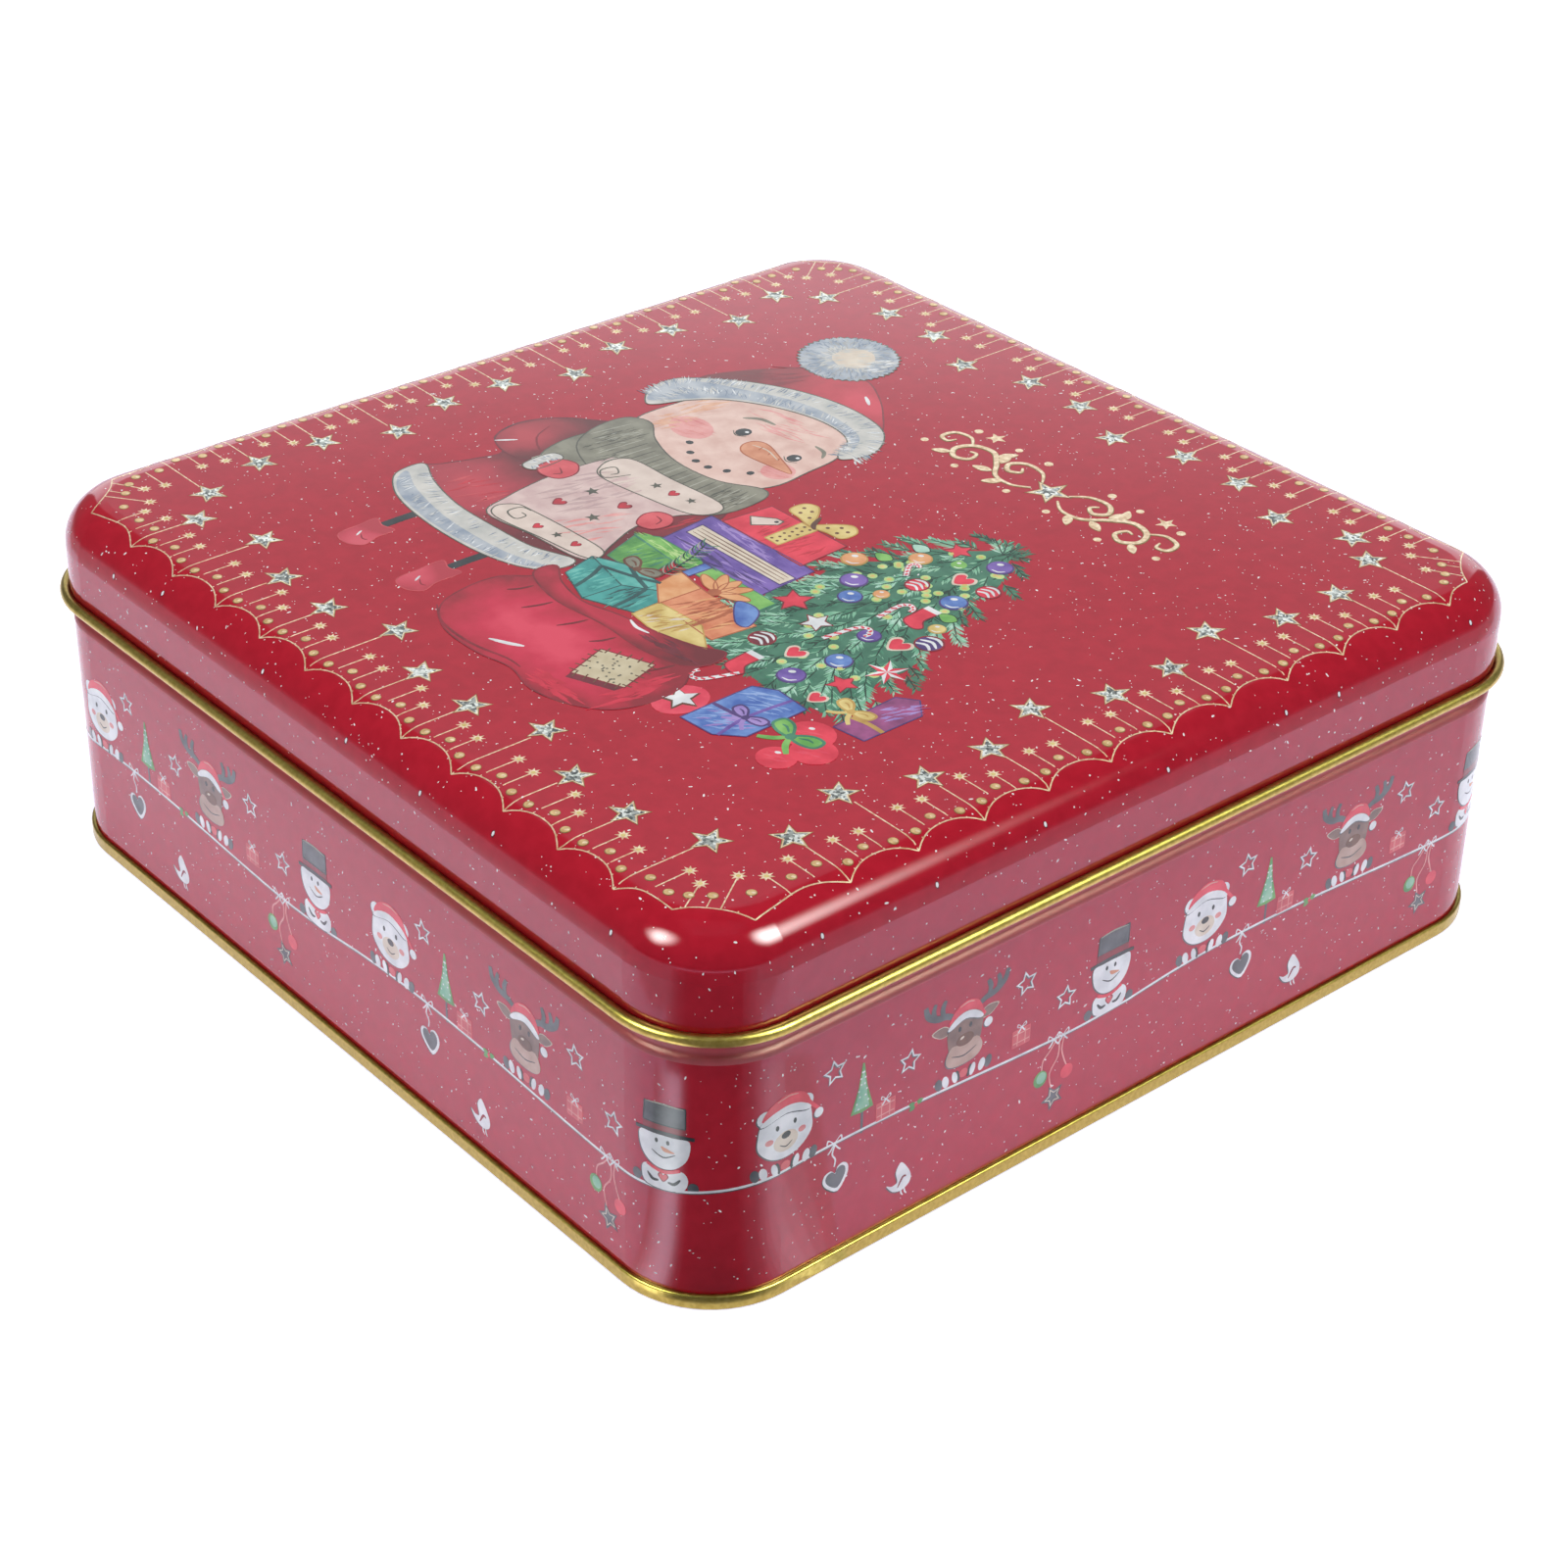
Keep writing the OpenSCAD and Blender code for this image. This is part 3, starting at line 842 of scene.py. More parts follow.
    # Scroll: the sheet and its two rolled ends
    picture.blob([(-42.4, -8), (-40, -5), (-26, -7), (-13.4, -6), (-15.6, -12), (-16.6, -20),
                  (-13.6, -28), (-11.4, -33), (-14, -36), (-26, -37), (-38, -38.4), (-41, -32),
                  (-43, -20)], "paper", 8, "sage_dark", 0.3)
    hatch(-33, -18, 7, 8, 78, 60, 7, 0.9, ("paper", "paper_shade"), 10)
    hatch(-22, -26, 6, 6, 70, 40, 6, 0.8, ("paper", "pink_light"), 10)
    picture.blob([(-38, -3), (-28, -2.6), (-14.6, -1.6), (-11.6, -4.6), (-14.6, -9), (-26, -11.4),
                  (-37, -12.6), (-40.6, -9.6), (-41, -5.6)], "paper_light", 10, "sage_dark", 0.3)
    picture.line([(-34, -7.6), (-36, -12.2), (-39, -11), (-38.4, -8), (-36, -9), (-36.4, -10.6)],
                 0.36, "sage_dark", 12, 0.4)
    picture.blob([(-37.6, -32), (-34, -31.2), (-22, -30.4), (-12.6, -30.6), (-12.4, -34.6),
                  (-24, -36.4), (-36, -38), (-39.4, -35.4)], "paper_light", 10, "sage_dark", 0.3)
    picture.line([(-33.6, -31.4), (-36, -32), (-36.2, -35), (-33, -35.6), (-32.6, -33.4),
                  (-34.2, -33.2)], 0.36, "sage_dark", 12, 0.4)
    for x, y, r in ((-27.4, -6.6, 1.3), (-18.4, -5.4, 1.2), (-33, -17.6, 1.6), (-24.4, -24, 1.6),
                    (-23, -33.4, 1.2)):
        picture.slab(star(x, y, 5, r, r * 0.45, 84), "sage_dark", 12)
    for x, y, size in ((-22.8, -6.2, 1.2), (-24.6, -16.6, 1.5), (-33.4, -25.2, 1.5),
                       (-28, -34.2, 1.1), (-18, -33, 1.1)):
        heart(x, y, size, "red", "red_deep", 12)

    # Cuffs and mittens
    picture.blob([(-50.8, -14), (-47.4, -13.6), (-47, -20.6), (-50.4, -21)], "fur_light", 11,
                 "sage_dark", 0.28)
    fur([(-49.2, -14.4), (-49, -17), (-48.8, -20.4)], 1.7, 26, ("white", "fur", "fur_shade"), 13)
    picture.blob([(-47.6, -14.4), (-44, -12.8), (-40.8, -15.4), (-41.2, -19.4), (-45, -20.8),
                  (-48, -19)], "red_mitten", 11, "red_deep", 0.3)
    picture.line([(-44.8, -16.4), (-42.6, -17.6), (-43.4, -19)], 0.36, "red_deep", 13)
    picture.blob([(-19.6, -16), (-18.6, -13), (-15.4, -12.2), (-13.2, -14.6), (-14, -18.4),
                  (-17.4, -19.2)], "red_mitten", 11, "red_deep", 0.3)
    picture.line([(-17.6, -14.4), (-15.6, -14.8), (-15, -16.6)], 0.36, "red_deep", 13)

    # Bobble hat
    picture.blob([(-59.6, 30), (-57.6, 38), (-53, 46), (-48.6, 51.4), (-43, 55.4), (-37, 55.8),
                  (-30, 52.4), (-24, 48), (-18, 42), (-20, 37), (-36, 38), (-52, 30)], "hat_wash",
                 5, "red_deep", 0.35)
    hatch(-50, 43, 3.4, 7, 62, 12, 7, 0.9, ("red_deep",), 7)
    picture.line([(-32.4, 50.8), (-30.6, 49.8), (-29, 48.8)], 0.8, "white", 9)
    band = [(-57.6, 14.6), (-61.8, 19), (-62.6, 25.6), (-58.8, 31), (-52.4, 36.6), (-44, 41.4),
            (-35, 44.2), (-26.6, 44.8), (-18.8, 43.2), (-14, 38.8), (-12.2, 33.6), (-14, 28.4),
            (-16.4, 29.6), (-18, 33.2), (-22, 35.8), (-28.6, 36.4), (-36, 34.8), (-43, 31.6),
            (-49, 27.2), (-53, 21.6), (-55.4, 15.6)]
    picture.blob(band, "fur_light", 9, "sage_dark", 0.3)
    picture.blob([(-58, 15.6), (-61, 20), (-61.4, 25.6), (-57, 30), (-50, 33.6), (-42, 37.4),
                  (-34, 39.4), (-26, 39.4), (-19, 37.4), (-15.4, 32), (-19, 35), (-27, 37),
                  (-36, 35.6), (-44, 32), (-50, 27.4), (-54, 21.4)], "fur", 11)
    spine = smooth([(-58.6, 17), (-59.4, 24), (-55.6, 29.6), (-48, 34.6), (-39, 38.6), (-29, 40.4),
                    (-20.4, 39.4), (-15.6, 35), (-14.2, 30.4)], False)
    fur(spine, 4.1, 420, ("fur_light", "fur", "fur_shade", "white", "fur_light"), 12, 0.26)
    fur(spine[:24], 4.0, 120, ("fur", "fur_shade"), 12, 0.26)

    # Bobble
    x, y = -48, 60
    picture.slab(ragged(x, y, 11.2, 10.9, 44, 0.05, chance), "sage_dark", 10)
    picture.slab(ragged(x, y, 10.9, 10.6, 44, 0.06, chance), "fur", 11)
    for inks, low, high, count in ((("fur_shade", "fur_grey", "fur"), 6.6, 10.9, 260),
                                   (("fur_light", "fur_grey", "fur_light"), 3.2, 7.6, 150)):
        for _ in range(count):
            a = chance.uniform(0, 2 * math.pi)
            far = chance.uniform(low + 1.6, high)
            near = far - chance.uniform(1.2, 2.6)
            lean = a + chance.uniform(-0.12, 0.12)
            halfway = (near + far) / 2
            picture.stroke([(x + near * math.cos(a), y + near * math.sin(a)),
                            (x + halfway * math.cos(a), y + halfway * math.sin(a)),
                            (x + far * math.cos(lean), y + far * math.sin(lean))],
                           0.42, chance.choice(inks), 12, 1)
    picture.blob([(-51, 64), (-47, 65.6), (-43.6, 63), (-43.4, 58.6), (-47, 56.4), (-51.4, 58.6)],
                 "cream", 12)
    hatch(-47.4, 61, 4.6, 4.6, 60, 50, 3.0, 0.5, ("cream", "fur_light", "cream"), 13)
    hatch(-41.4, 62.6, 2.4, 3.4, 70, 24, 3.0, 0.5, ("fur_light", "white"), 13)


def dotted(x0, y0, x1, y1, step, r, ink, level):
    """Staggered dots over a rectangle."""
    rows = int((y1 - y0) / step)
    for j in range(rows):
        cols = int((x1 - x0) / step)
        for i in range(cols):
            picture.slab(oval(x0 + step * (i + 0.5 + 0.35 * (j % 2)), y0 + step * (j + 0.5), r,
                              sides=8), ink, level)


def presents():
    """The parcels that stand in the sack's mouth."""
    # Red parcel with a dotted bow and a tag
    picture.poly([(-8.4, -6), (-7.4, 5.2), (13.4, 5.6), (14, -6)], "red_bright", 6, "red_deep")
    hatch(4, -1, 8, 3.6, 86, 40, 5, 0.8, ("red_bright", "red"), 8)
    picture.poly([(1.4, -4), (1.2, 5.2), (5.4, 5.4), (5.2, -4)], "yellow", 9, "ochre")
    dotted(1.6, -3.8, 5.2, 5.2, 1.5, 0.34, "brown", 11)
    for side in (-1, 1):
        x = 3.2
        loop = [(x, 5.6), (x + side * 2.4, 9.6), (x + side * 5, 11.8), (x + side * 7.6, 10.4),
                (x + side * 7.4, 6.8), (x + side * 4, 6.2)]
        picture.blob(loop, "yellow", 9, "ochre", 0.34)
        for u, v in ((2.6, 7.6), (4.2, 9.6), (6.2, 9.4), (5.2, 7.6)):
            picture.slab(oval(x + side * u, v, 0.42, sides=8), "brown", 11)
    picture.line([(1.8, 9.4), (3.2, 6.4), (4.8, 5.2)], 1.1, "brown", 11)
    picture.poly([(-6.8, -0.6), (-4, -2.8), (-0.8, 1.2), (-1.2, 2.8), (-3, 2.6)], "paper_light", 9,
                 "sage_dark")
    picture.slab(oval(-1.9, 1.7, 0.45, sides=8), "charcoal", 11)

    # Long violet parcel with a cream band
    picture.poly([(-11.4, -6.2), (17, -5.4), (18, -19.4), (-10, -19.4)], "purple", 6, "purple_dark")
    hatch(4, -7.6, 12, 1.2, 2, 34, 7, 0.7, ("purple", "purple_light"), 8)
    hatch(4, -16.6, 12, 2.0, 2, 44, 7, 0.7, ("purple", "purple_light", "purple_dark"), 8)
    picture.poly([(-9.6, -9.8), (17, -9.8), (17, -13.6), (-9.2, -14)], "cream", 8, "purple_dark")
    for y in (-10.9, -11.9, -12.9):
        picture.line([(-8.6, y), (4, y + 0.1), (16, y + 0.2)], 0.28, "brown", 10)

    # Green parcel and blue ribbon
    picture.poly([(-14.6, -22), (-10.6, -19), (22, -18.6), (22, -23), (-3, -23)], "lime", 7, "pine")
    picture.poly([(-14, -22.4), (-2, -23), (0, -31), (-11, -31)], "lime_deep", 7, "pine")
    hatch(-6, -20.8, 7, 1.2, 4, 30, 5, 0.6, ("lime", "lime_light"), 9)
    hatch(-7, -26, 5, 2.6, 80, 34, 4, 0.6, ("lime", "pine", "lime_deep"), 9)
    picture.poly([(2.4, -19), (4.6, -19), (4.4, -24.4), (2.4, -24.4)], "blue", 9, "purple_dark")
    # A sprig of fir
    picture.line([(-3.4, -14), (-0.6, -20), (1.2, -28)], 0.5, "pine_dark", 12)
    for k in range(15):
        t = k / 14
        x, y = -3 + 3.8 * t, -14.6 - 12.6 * t
        for side in (-1, 1):
            picture.line([(x, y), (x + side * 1.2, y + 0.7), (x + side * 2.1, y + 1.9)], 0.3,
                         ("pine", "pine_dark", "sage_light")[k % 3], 13)

    # Orange parcel with a bow
    picture.poly([(2, -24.4), (10, -25.6), (26, -26.6), (25, -36), (9, -35)], "orange", 9,
                 "orange_dark")
    picture.poly([(2, -24.4), (9.4, -25.6), (9, -35), (3, -30.6)], "orange_light", 11,
                 "orange_dark")
    hatch(17, -30, 6.5, 3.4, 80, 60, 5, 0.7, ("orange", "orange_light", "orange_dark"), 11)
    picture.line([(19, -26.4), (19.4, -30), (19, -35.4)], 0.9, "orange_dark", 12, 0.1)
    for turn in (20, 55, 90, 125, 160):
        c, s = math.cos(math.radians(turn)), math.sin(math.radians(turn))
        reach = 5.4 + 1.4 * abs(c)
        loop = [(12 + reach * u * c - v * s, -24.4 + reach * u * s * 1.1 + v * c)
                for u, v in ((0, -0.3), (0.5, -1.2), (1, -0.2), (0.9, 0.9), (0.4, 1.2))]
        picture.blob(loop, "orange_light", 12, "orange_dark", 0.26)
    picture.slab(oval(12, -24.6, 1.3, sides=12), "orange_dark", 14)
    # Yellow parcel and a blue ball
    picture.poly([(8.8, -34.6), (20, -34), (27, -38.6), (17, -42), (9, -41)], "yellow", 10, "ochre")
    hatch(15, -38, 5, 2.2, 70, 34, 3.4, 0.6, ("yellow", "cream", "ochre"), 12)
    picture.line([(18.6, -34.4), (17.6, -38), (17, -41.6)], 0.4, "ochre", 13, 0.1)
    picture.blob([(17.2, -24), (19.6, -22.4), (23, -23.4), (25.4, -28), (22.6, -28.6)], "blue", 12,
                 "purple_dark", 0.28)

    # Teal box
    picture.poly([(-12.4, -33.4), (-5, -30), (8.4, -30), (-0.4, -36)], "teal_light", 10,
                 "teal_dark")
    picture.poly([(-12.4, -33.4), (-0.4, -36), (-1, -44.4), (-10.4, -41)], "teal", 10, "teal_dark")
    picture.poly([(-0.4, -36), (8.4, -30), (9, -40.4), (-1, -44.4)], "teal", 10, "teal_dark")
    hatch(-6, -38.6, 4.4, 2.6, 84, 50, 4, 0.6, ("teal", "teal_light"), 12)
    hatch(4, -37.4, 3.0, 4, 84, 40, 4, 0.6, ("teal", "teal_dark", "teal_light"), 12)
    for path in ([(-8.4, -34.4), (-6.6, -38), (-5.2, -42.8)], [(3.4, -33.2), (4.4, -37), (5, -42)],
                 [(-8.4, -34.4), (-2, -32.4), (3.4, -30)], [(-5, -30.4), (-1, -32), (3.4, -33.2)]):
        picture.line(path, 0.9, "teal_dark", 13, 0.1)
    bow(-3.4, -30, 4.2, "sage", "brown", 12, tails=False)


def sack():
    """A full red sack with a patch on it."""
    body = [(-13.6, -40.6), (-8, -43.6), (0, -45), (8, -43), (17, -41.6), (25, -39.4), (30, -37),
            (31.6, -41), (31, -45), (34.4, -50), (35.2, -57), (33, -64), (27, -68.6), (19, -70.6),
            (11, -69), (3, -70.4), (-7, -70), (-14.4, -65.6), (-17, -58), (-16.6, -51), (-13, -46)]
    picture.blob(body, "sack_wash", 9, "red_deep", 0.35)
    hatch(30.5, -57, 2.0, 7, 84, 22, 7, 1.1, ("sack",), 11)
    hatch(21, -67.2, 8, 1.8, 8, 22, 6, 0.9, ("sack",), 11)
    # Turned-down mouth, and the fold under it
    mouth = [(-13.6, -40.6), (-8, -43.6), (0, -45), (8, -43), (17, -41.6), (25, -39.4), (30, -36.8),
             (31.6, -41), (29, -45.4), (20, -47.6), (9, -47.4), (-2, -48.6), (-10, -47.4),
             (-14.4, -45)]
    picture.blob(mouth, "mouth_wash", 11, "red_deep", 0.36)
    hatch(22, -43.4, 6.5, 1.4, 8, 16, 5, 0.8, ("wine",), 13)
    for x, y, reach in ((-10, -50, 3), (-3, -51, 4), (6, -50, 4), (14, -50, 3), (28, -48, 5)):
        picture.line([(x, y + 1.6), (x - 0.6, y - 1), (x - 1.8, y - reach)], 0.6, "mouth_wash", 12)
    picture.line([(10.6, -42.6), (13.4, -43.4), (16.4, -43)], 0.7, "white", 14)
    picture.line([(0.6, -66), (4, -64.4), (6.6, -62.8)], 1.0, "white", 13)
    picture.line([(-15, -66), (-9, -69), (0, -69.4), (8, -67.6), (12, -67.6)], 0.6, "red_deep", 12)
    # A sewn patch
    patch = [(15.6, -53), (25.8, -49), (28.6, -58), (18.8, -62)]
    picture.poly(shifted(patch, 0.6, -1.6), "wine", 11)
    picture.poly(patch, "patch", 12, "red_deep")
    for i in range(4):
        (ax, ay), (bx, by) = patch[i], patch[(i + 1) % 4]
        length = math.hypot(bx - ax, by - ay)
        nx, ny = (by - ay) / length, (ax - bx) / length
        for k in range(5):
            t = (k + 0.6) / 5
            x, y = ax + (bx - ax) * t, ay + (by - ay) * t
            picture.stroke([(x - nx, y - ny), (x + nx * 0.9, y + ny * 0.9)], 0.3, "brown", 14)
    for _ in range(26):
        u, v = chance.uniform(-4, 4), chance.uniform(-3.6, 3.6)
        picture.slab(oval(22.2 + u, -55.4 + v, 0.25, sides=6), "sage_dark", 14)


TREE_TOP = (33.5, 29)
TREE_FOOT = -37.5


def tree_edges(y):
    """How far the tree reaches left and right at height y: it widens, more so to the right."""
    t = (TREE_TOP[1] - y) / (TREE_TOP[1] - TREE_FOOT)
    wave = 1.3 * math.sin(t * 26)
    return TREE_TOP[0] - 3 - 14.5 * math.sin(min(t, 0.62) * 2.5) + 10 * max(t - 0.55, 0) + wave, \
        TREE_TOP[0] + 3 + 25 * t ** 0.9 - 4 * max(t - 0.85, 0) * 6 - wave


def fir_branch(x, y, angle, length):
    """A twig with two rows of needles."""
    c, s = math.cos(math.radians(angle)), math.sin(math.radians(angle))
    shades = chance.choice((("pine", "pine_dark", "pine_mid"), ("pine", "pine_light", "pine_mid"),
                            ("pine_light", "pine_light", "pine_pale")))
    count = int(length * 2.2)
    for k in range(count):
        t = (k + 1) / count
        px, py = x + c * length * t, y + s * length * t
        for side in (-1, 1):
            lean = math.radians(angle + side * chance.uniform(22, 48))
            reach = chance.uniform(1.8, 3.2) * (1.1 - 0.45 * t)
            picture.stroke([(px, py),
                            (px + reach * 0.5 * math.cos(lean), py + reach * 0.5 * math.sin(lean)),
                            (px + reach * math.cos(lean), py + reach * math.sin(lean))],
                           chance.uniform(0.3, 0.55), chance.choice(shades), 2 + k % 2, 1)
    picture.stroke([(x, y), (x + c * length / 2, y + s * length / 2),
                    (x + c * length, y + s * length)], 0.3, "pine_dark", 4, 0.6)


def tree():
    """The decorated tree, and what hangs on it."""
    heights = [TREE_TOP[1] - 2.2 * i for i in range(31)]
    heights = [y for y in heights if y > TREE_FOOT]
    edges = [tree_edges(y) for y in heights]
    outline = [TREE_TOP] + [(left + 1.2, y) for (left, _), y in zip(edges, heights)]
    outline += [(TREE_TOP[0] + 10, TREE_FOOT - 1.5)]
    outline += [(right - 1.2, y) for (_, right), y in reversed(list(zip(edges, heights)))]
    picture.slab(outline, "pine_mid", 0)
    y = TREE_TOP[1] - 1
    while y > TREE_FOOT:
        left, right = tree_edges(y)
        middle = (left + right) / 2
        x = left
        while x <= right:
            across = (x - middle) / max(right - middle, 1)
            angle = -90 + across * 72 + chance.uniform(-10, 10)
            outer = 1.0 if abs(across) > 0.75 else 0.8
            fir_branch(x, y + chance.uniform(-1, 1), angle, chance.uniform(4.2, 6.4) * outer)
            x += chance.uniform(3.0, 4.2)
        y -= 3.3
    for angle in (60, 95, 125, 25, 150):
        fir_branch(TREE_TOP[0], TREE_TOP[1] - 3, angle, 4.5)
    # Small lights
    for _ in range(46):
        y = chance.uniform(TREE_FOOT + 3, TREE_TOP[1] - 4)
        left, right = tree_edges(y)
        x = chance.uniform(left + 2, right - 2)
        picture.slab(oval(x, y, 0.95, sides=12), "lime_light", 5)
        picture.slab(oval(x, y, 0.5, sides=10), "yellow", 6)

    # Ornaments
    for x, y, r, ink, edge in (
            (37, 22, 2.6, "purple", "purple_dark"), (24, -2, 2.7, "purple", "purple_dark"),
            (41.4, 6.4, 2.7, "blue", "purple_dark"), (28.2, -6.6, 2.4, "blue", "purple_dark"),
            (41, -13.4, 2.3, "purple", "purple_dark"), (44.4, -23.4, 2.6, "blue", "purple_dark"),
            (43, -33, 2.7, "purple", "purple_dark"), (25.4, 13, 2.3, "orange_light", "ochre"),
            (18, 3.4, 2.6, "orange_light", "ochre"), (31, -1.6, 1.6, "orange_light", "ochre"),
            (31.6, 16.8, 1.7, "lime", "pine"), (46.6, -2.4, 1.7, "yellow", "ochre")):
        ball(x, y, r, ink, edge, 6)
    for x, y, r, ink in ((42.4, 14, 2.4, "red_bright"), (32.4, 5.8, 2.4, "red_bright"),
                         (49.6, -7, 2.8, "purple_dark"), (30, -28.6, 2.6, "wine")):
        striped_ball(x, y, r, ink, 6)
    for x, y, size in ((36.2, 13.4, 2.5), (46.6, -11.6, 2.6), (37.4, -27.4, 2.3),
                       (51.4, -34.6, 2.0)):
        heart(x, y, size, "red_bright", "cream", 6)
    for x, y, r, turn, ink in ((23, -15.4, 3.6, 70, "red_bright"),
                               (31.6, -17.4, 2.9, 100, "white"),
                               (27.6, 20.6, 2.6, 80, "red_bright"),
                               (50.6, -28, 2.8, 95, "red_bright")):
        picture.slab(star(x, y, 5, r * 1.16, r * 0.58, turn), "red_deep", 6)
        picture.slab(star(x, y, 5, r, r * 0.48, turn), ink, 7)
    for k in range(6):
        a, b = math.radians(60 * k + 10), math.radians(60 * k + 40)
        picture.slab([(52.4, -19.4),
                      (52.4 + 1.6 * math.cos(a - 0.5), -19.4 + 1.6 * math.sin(a - 0.5)),
                      (52.4 + 4.2 * math.cos(a), -19.4 + 4.2 * math.sin(a))], "white", 7)
        picture.slab([(52.4, -19.4), (52.4 + 4.2 * math.cos(a), -19.4 + 4.2 * math.sin(a)),
                      (52.4 + 1.6 * math.cos(b), -19.4 + 1.6 * math.sin(b))], "red_bright", 7)
    for x, y, tall, turn in ((36.4, -4, 7.5, 8), (37, -15.8, 9, -6), (27, 8.4, 5, 40)):
        cane(x, y, tall, 6, turn)
    for x, y in ((41.2, -1.8), (33.8, -36.6)):  # stockings
        picture.blob([(x - 1.5, y + 3.2), (x + 1.5, y + 3.4), (x + 1.8, y - 0.4),
                      (x + 3.6, y - 2.4), (x + 2.4, y - 3.8), (x - 0.8, y - 3.0), (x - 1.4, y)],
                     "red_bright", 8, "red_deep", 0.3)
        picture.stroke([(x - 1.7, y + 3.2), (x + 1.7, y + 3.4)], 1.3, "white", 10)
    for x, y, turn in ((22.4, 15.6, -15), (44.8, 1.6, 10), (20.6, 8, 30)):
        picture.blob([(x - 2, y), (x, y + 1.6), (x + 2, y + 0.6), (x + 0.6, y - 1.4)],
                     "lime" if turn > 0 else "pine_pale", 6, "pine_dark", 0.2)


def parcels_at_the_tree():
    """The parcels and baubles round the foot of the tree."""
    # Violet parcel at the back, with a gold bow
    picture.poly([(59.6, -24), (63, -21.4), (67, -24.6), (67, -37.6), (60.4, -38.6)], "plum", 6,
                 "purple_dark")
    hatch(63.4, -26.4, 2.6, 3.6, 70, 30, 4, 0.6, ("purple_light", "plum"), 8)
    picture.line([(60, -34.2), (63.4, -33.4), (67, -33.4)], 1.0, "ochre", 9, 0.1)
    bow(58.6, -33, 3.8, "yellow", "ochre", 9)
    # Red baubles with a green bow
    for x, y, r in ((60, -43.4, 4.6), (64.4, -46.4, 4.2), (62, -52.4, 3.6)):
        picture.slab(oval(x, y, r, r * 0.95, 10, 22), "red_bright", 8)
        hatch(x, y, r * 0.6, r * 0.5, 30, 16, 2.6, 0.5, ("sack_light", "red_bright"), 9)
        picture.slab(oval(x - r * 0.3, y + r * 0.35, 0.6, 0.4, 30, 8), "white", 10)
    bow(58.4, -46.2, 5.0, "lime", "pine", 11)
    # Blue parcel with a violet bow
    picture.poly([(41.6, -40.6), (45.6, -38), (53.4, -38.4), (53.8, -52), (49.6, -56), (42, -56.6)],
                 "blue", 9, "purple_dark")
    hatch(47.6, -42.4, 4.4, 2.6, 30, 50, 4, 0.6, ("blue_light", "blue"), 11)
    hatch(47, -51, 4.4, 3.4, 50, 60, 4, 0.6, ("blue_light", "blue", "purple_light"), 11)
    picture.line([(41.8, -49.4), (48, -48.6), (53.6, -46.4)], 0.9, "purple_dark", 12, 0.1)
    picture.line([(49.6, -38.4), (49, -48), (50.4, -55.4)], 0.8, "purple", 12, 0.1)
    bow(49, -48.2, 3.6, "purple_light", "purple_dark", 12)
    # A cane and an iced star beside it
    cane(35.4, -43.4, 8.5, 8, 160)
    picture.slab(oval(37.6, -53, 4.4, 5.4, 0, 24), "sack_light", 7)
    picture.slab(star(37.4, -52.8, 5, 3.9, 1.9, 80), "brown", 9)
    picture.slab(star(37.2, -52.6, 5, 3.3, 1.5, 80), "white", 10)


tree()
presents()
parcels_at_the_tree()
sack()
snow_figure()
picture.lay(on_lid, "lid", "lid_print")

# ---------------------------------------------------------------- lid: the gold flourish

flourish = Print("lid_flourish_foil")


def foil_line(points, width):
    """A raised gold line: a dark edge under a bright one."""
    path = smooth(points, False, 6)
    flourish.stroke(shifted(path, 0.16, -0.16), width * 1.15, "foil_dark", 1, 0.7)
    flourish.stroke(path, width * 0.85, "foil", 2, 0.7)


def leaf(x, y, length, turn):
    """A gold leaf that points away from x and y."""
    shape = smooth(spun(x, y, length, turn, (0, 0), (0.45, 0.24), (1, 0), (0.45, -0.24)), per=4)
    flourish.slab(shifted(shape, 0.16, -0.16), "foil_dark", 1)
    flourish.slab(shape, "foil", 2)


FLOURISH_X, FLOURISH_Y = 20.6, 50.5
for side in (-1, 1):
    def at(u, v):
        return FLOURISH_X + side * u, FLOURISH_Y + v

    foil_line([at(3.6, -1.4), at(7, -3.6), at(11.5, -3.2), at(15, 0.4), at(19, 3.4), at(23.4, 2.4),
               at(25, -1.2), at(22.6, -3.8), at(19.8, -2.4), at(20.4, 0.2), at(22, 0)], 1.25)
    foil_line([at(3.6, 1.6), at(6.6, 4.6), at(11, 5), at(13.4, 2.4), at(11.6, 0.2), at(9.4, 1.4),
               at(10.4, 3)], 1.1)
    foil_line([at(23.6, 2.2), at(26.4, 4.4), at(30, 3.6), at(30.6, 0.6), at(28.4, -0.2),
               at(27.6, 1.6)], 1.0)
    for u, v, length, turn in ((14.6, 1.2, 4.6, 66), (17, 2.6, 4.2, 118), (9, -3.7, 4.2, -52),
                               (13.4, -2.4, 4.2, -20), (24.4, -3, 3.8, -36)):
        x, y = at(u, v)
        leaf(x, y, length, turn if side > 0 else 180 - turn)
    for u, v, r in ((8.6, 8.2, 0.9), (16.4, 7.8, 0.8), (19.4, -6.6, 0.8), (27.4, 7.4, 0.9),
                    (5.4, -6.2, 0.8), (31.4, -3.4, 0.8)):
        x, y = at(u, v)
        flourish.slab(oval(x, y, r, sides=12), "foil", 2)
    x, y = at(23, 8)
    flourish.slab(star(x, y, 5, 2.2, 0.95, 90 + side * 8), "foil", 2)
flourish.slab(star(FLOURISH_X, FLOURISH_Y, 5, 4.9, 2.1), "foil_dark", 1)
flourish.slab(star(FLOURISH_X, FLOURISH_Y, 5, 4.4, 1.85), "foil", 2)
facets = star(FLOURISH_X, FLOURISH_Y, 5, 3.4, 1.4)
for i in range(10):
    flourish.slab([facets[i], facets[(i + 1) % 10], (FLOURISH_X, FLOURISH_Y)], "glitter", 3 + i % 2)
flourish.lay(on_lid, "lid", "lid_print")

# ---------------------------------------------------------------- wall: the frieze

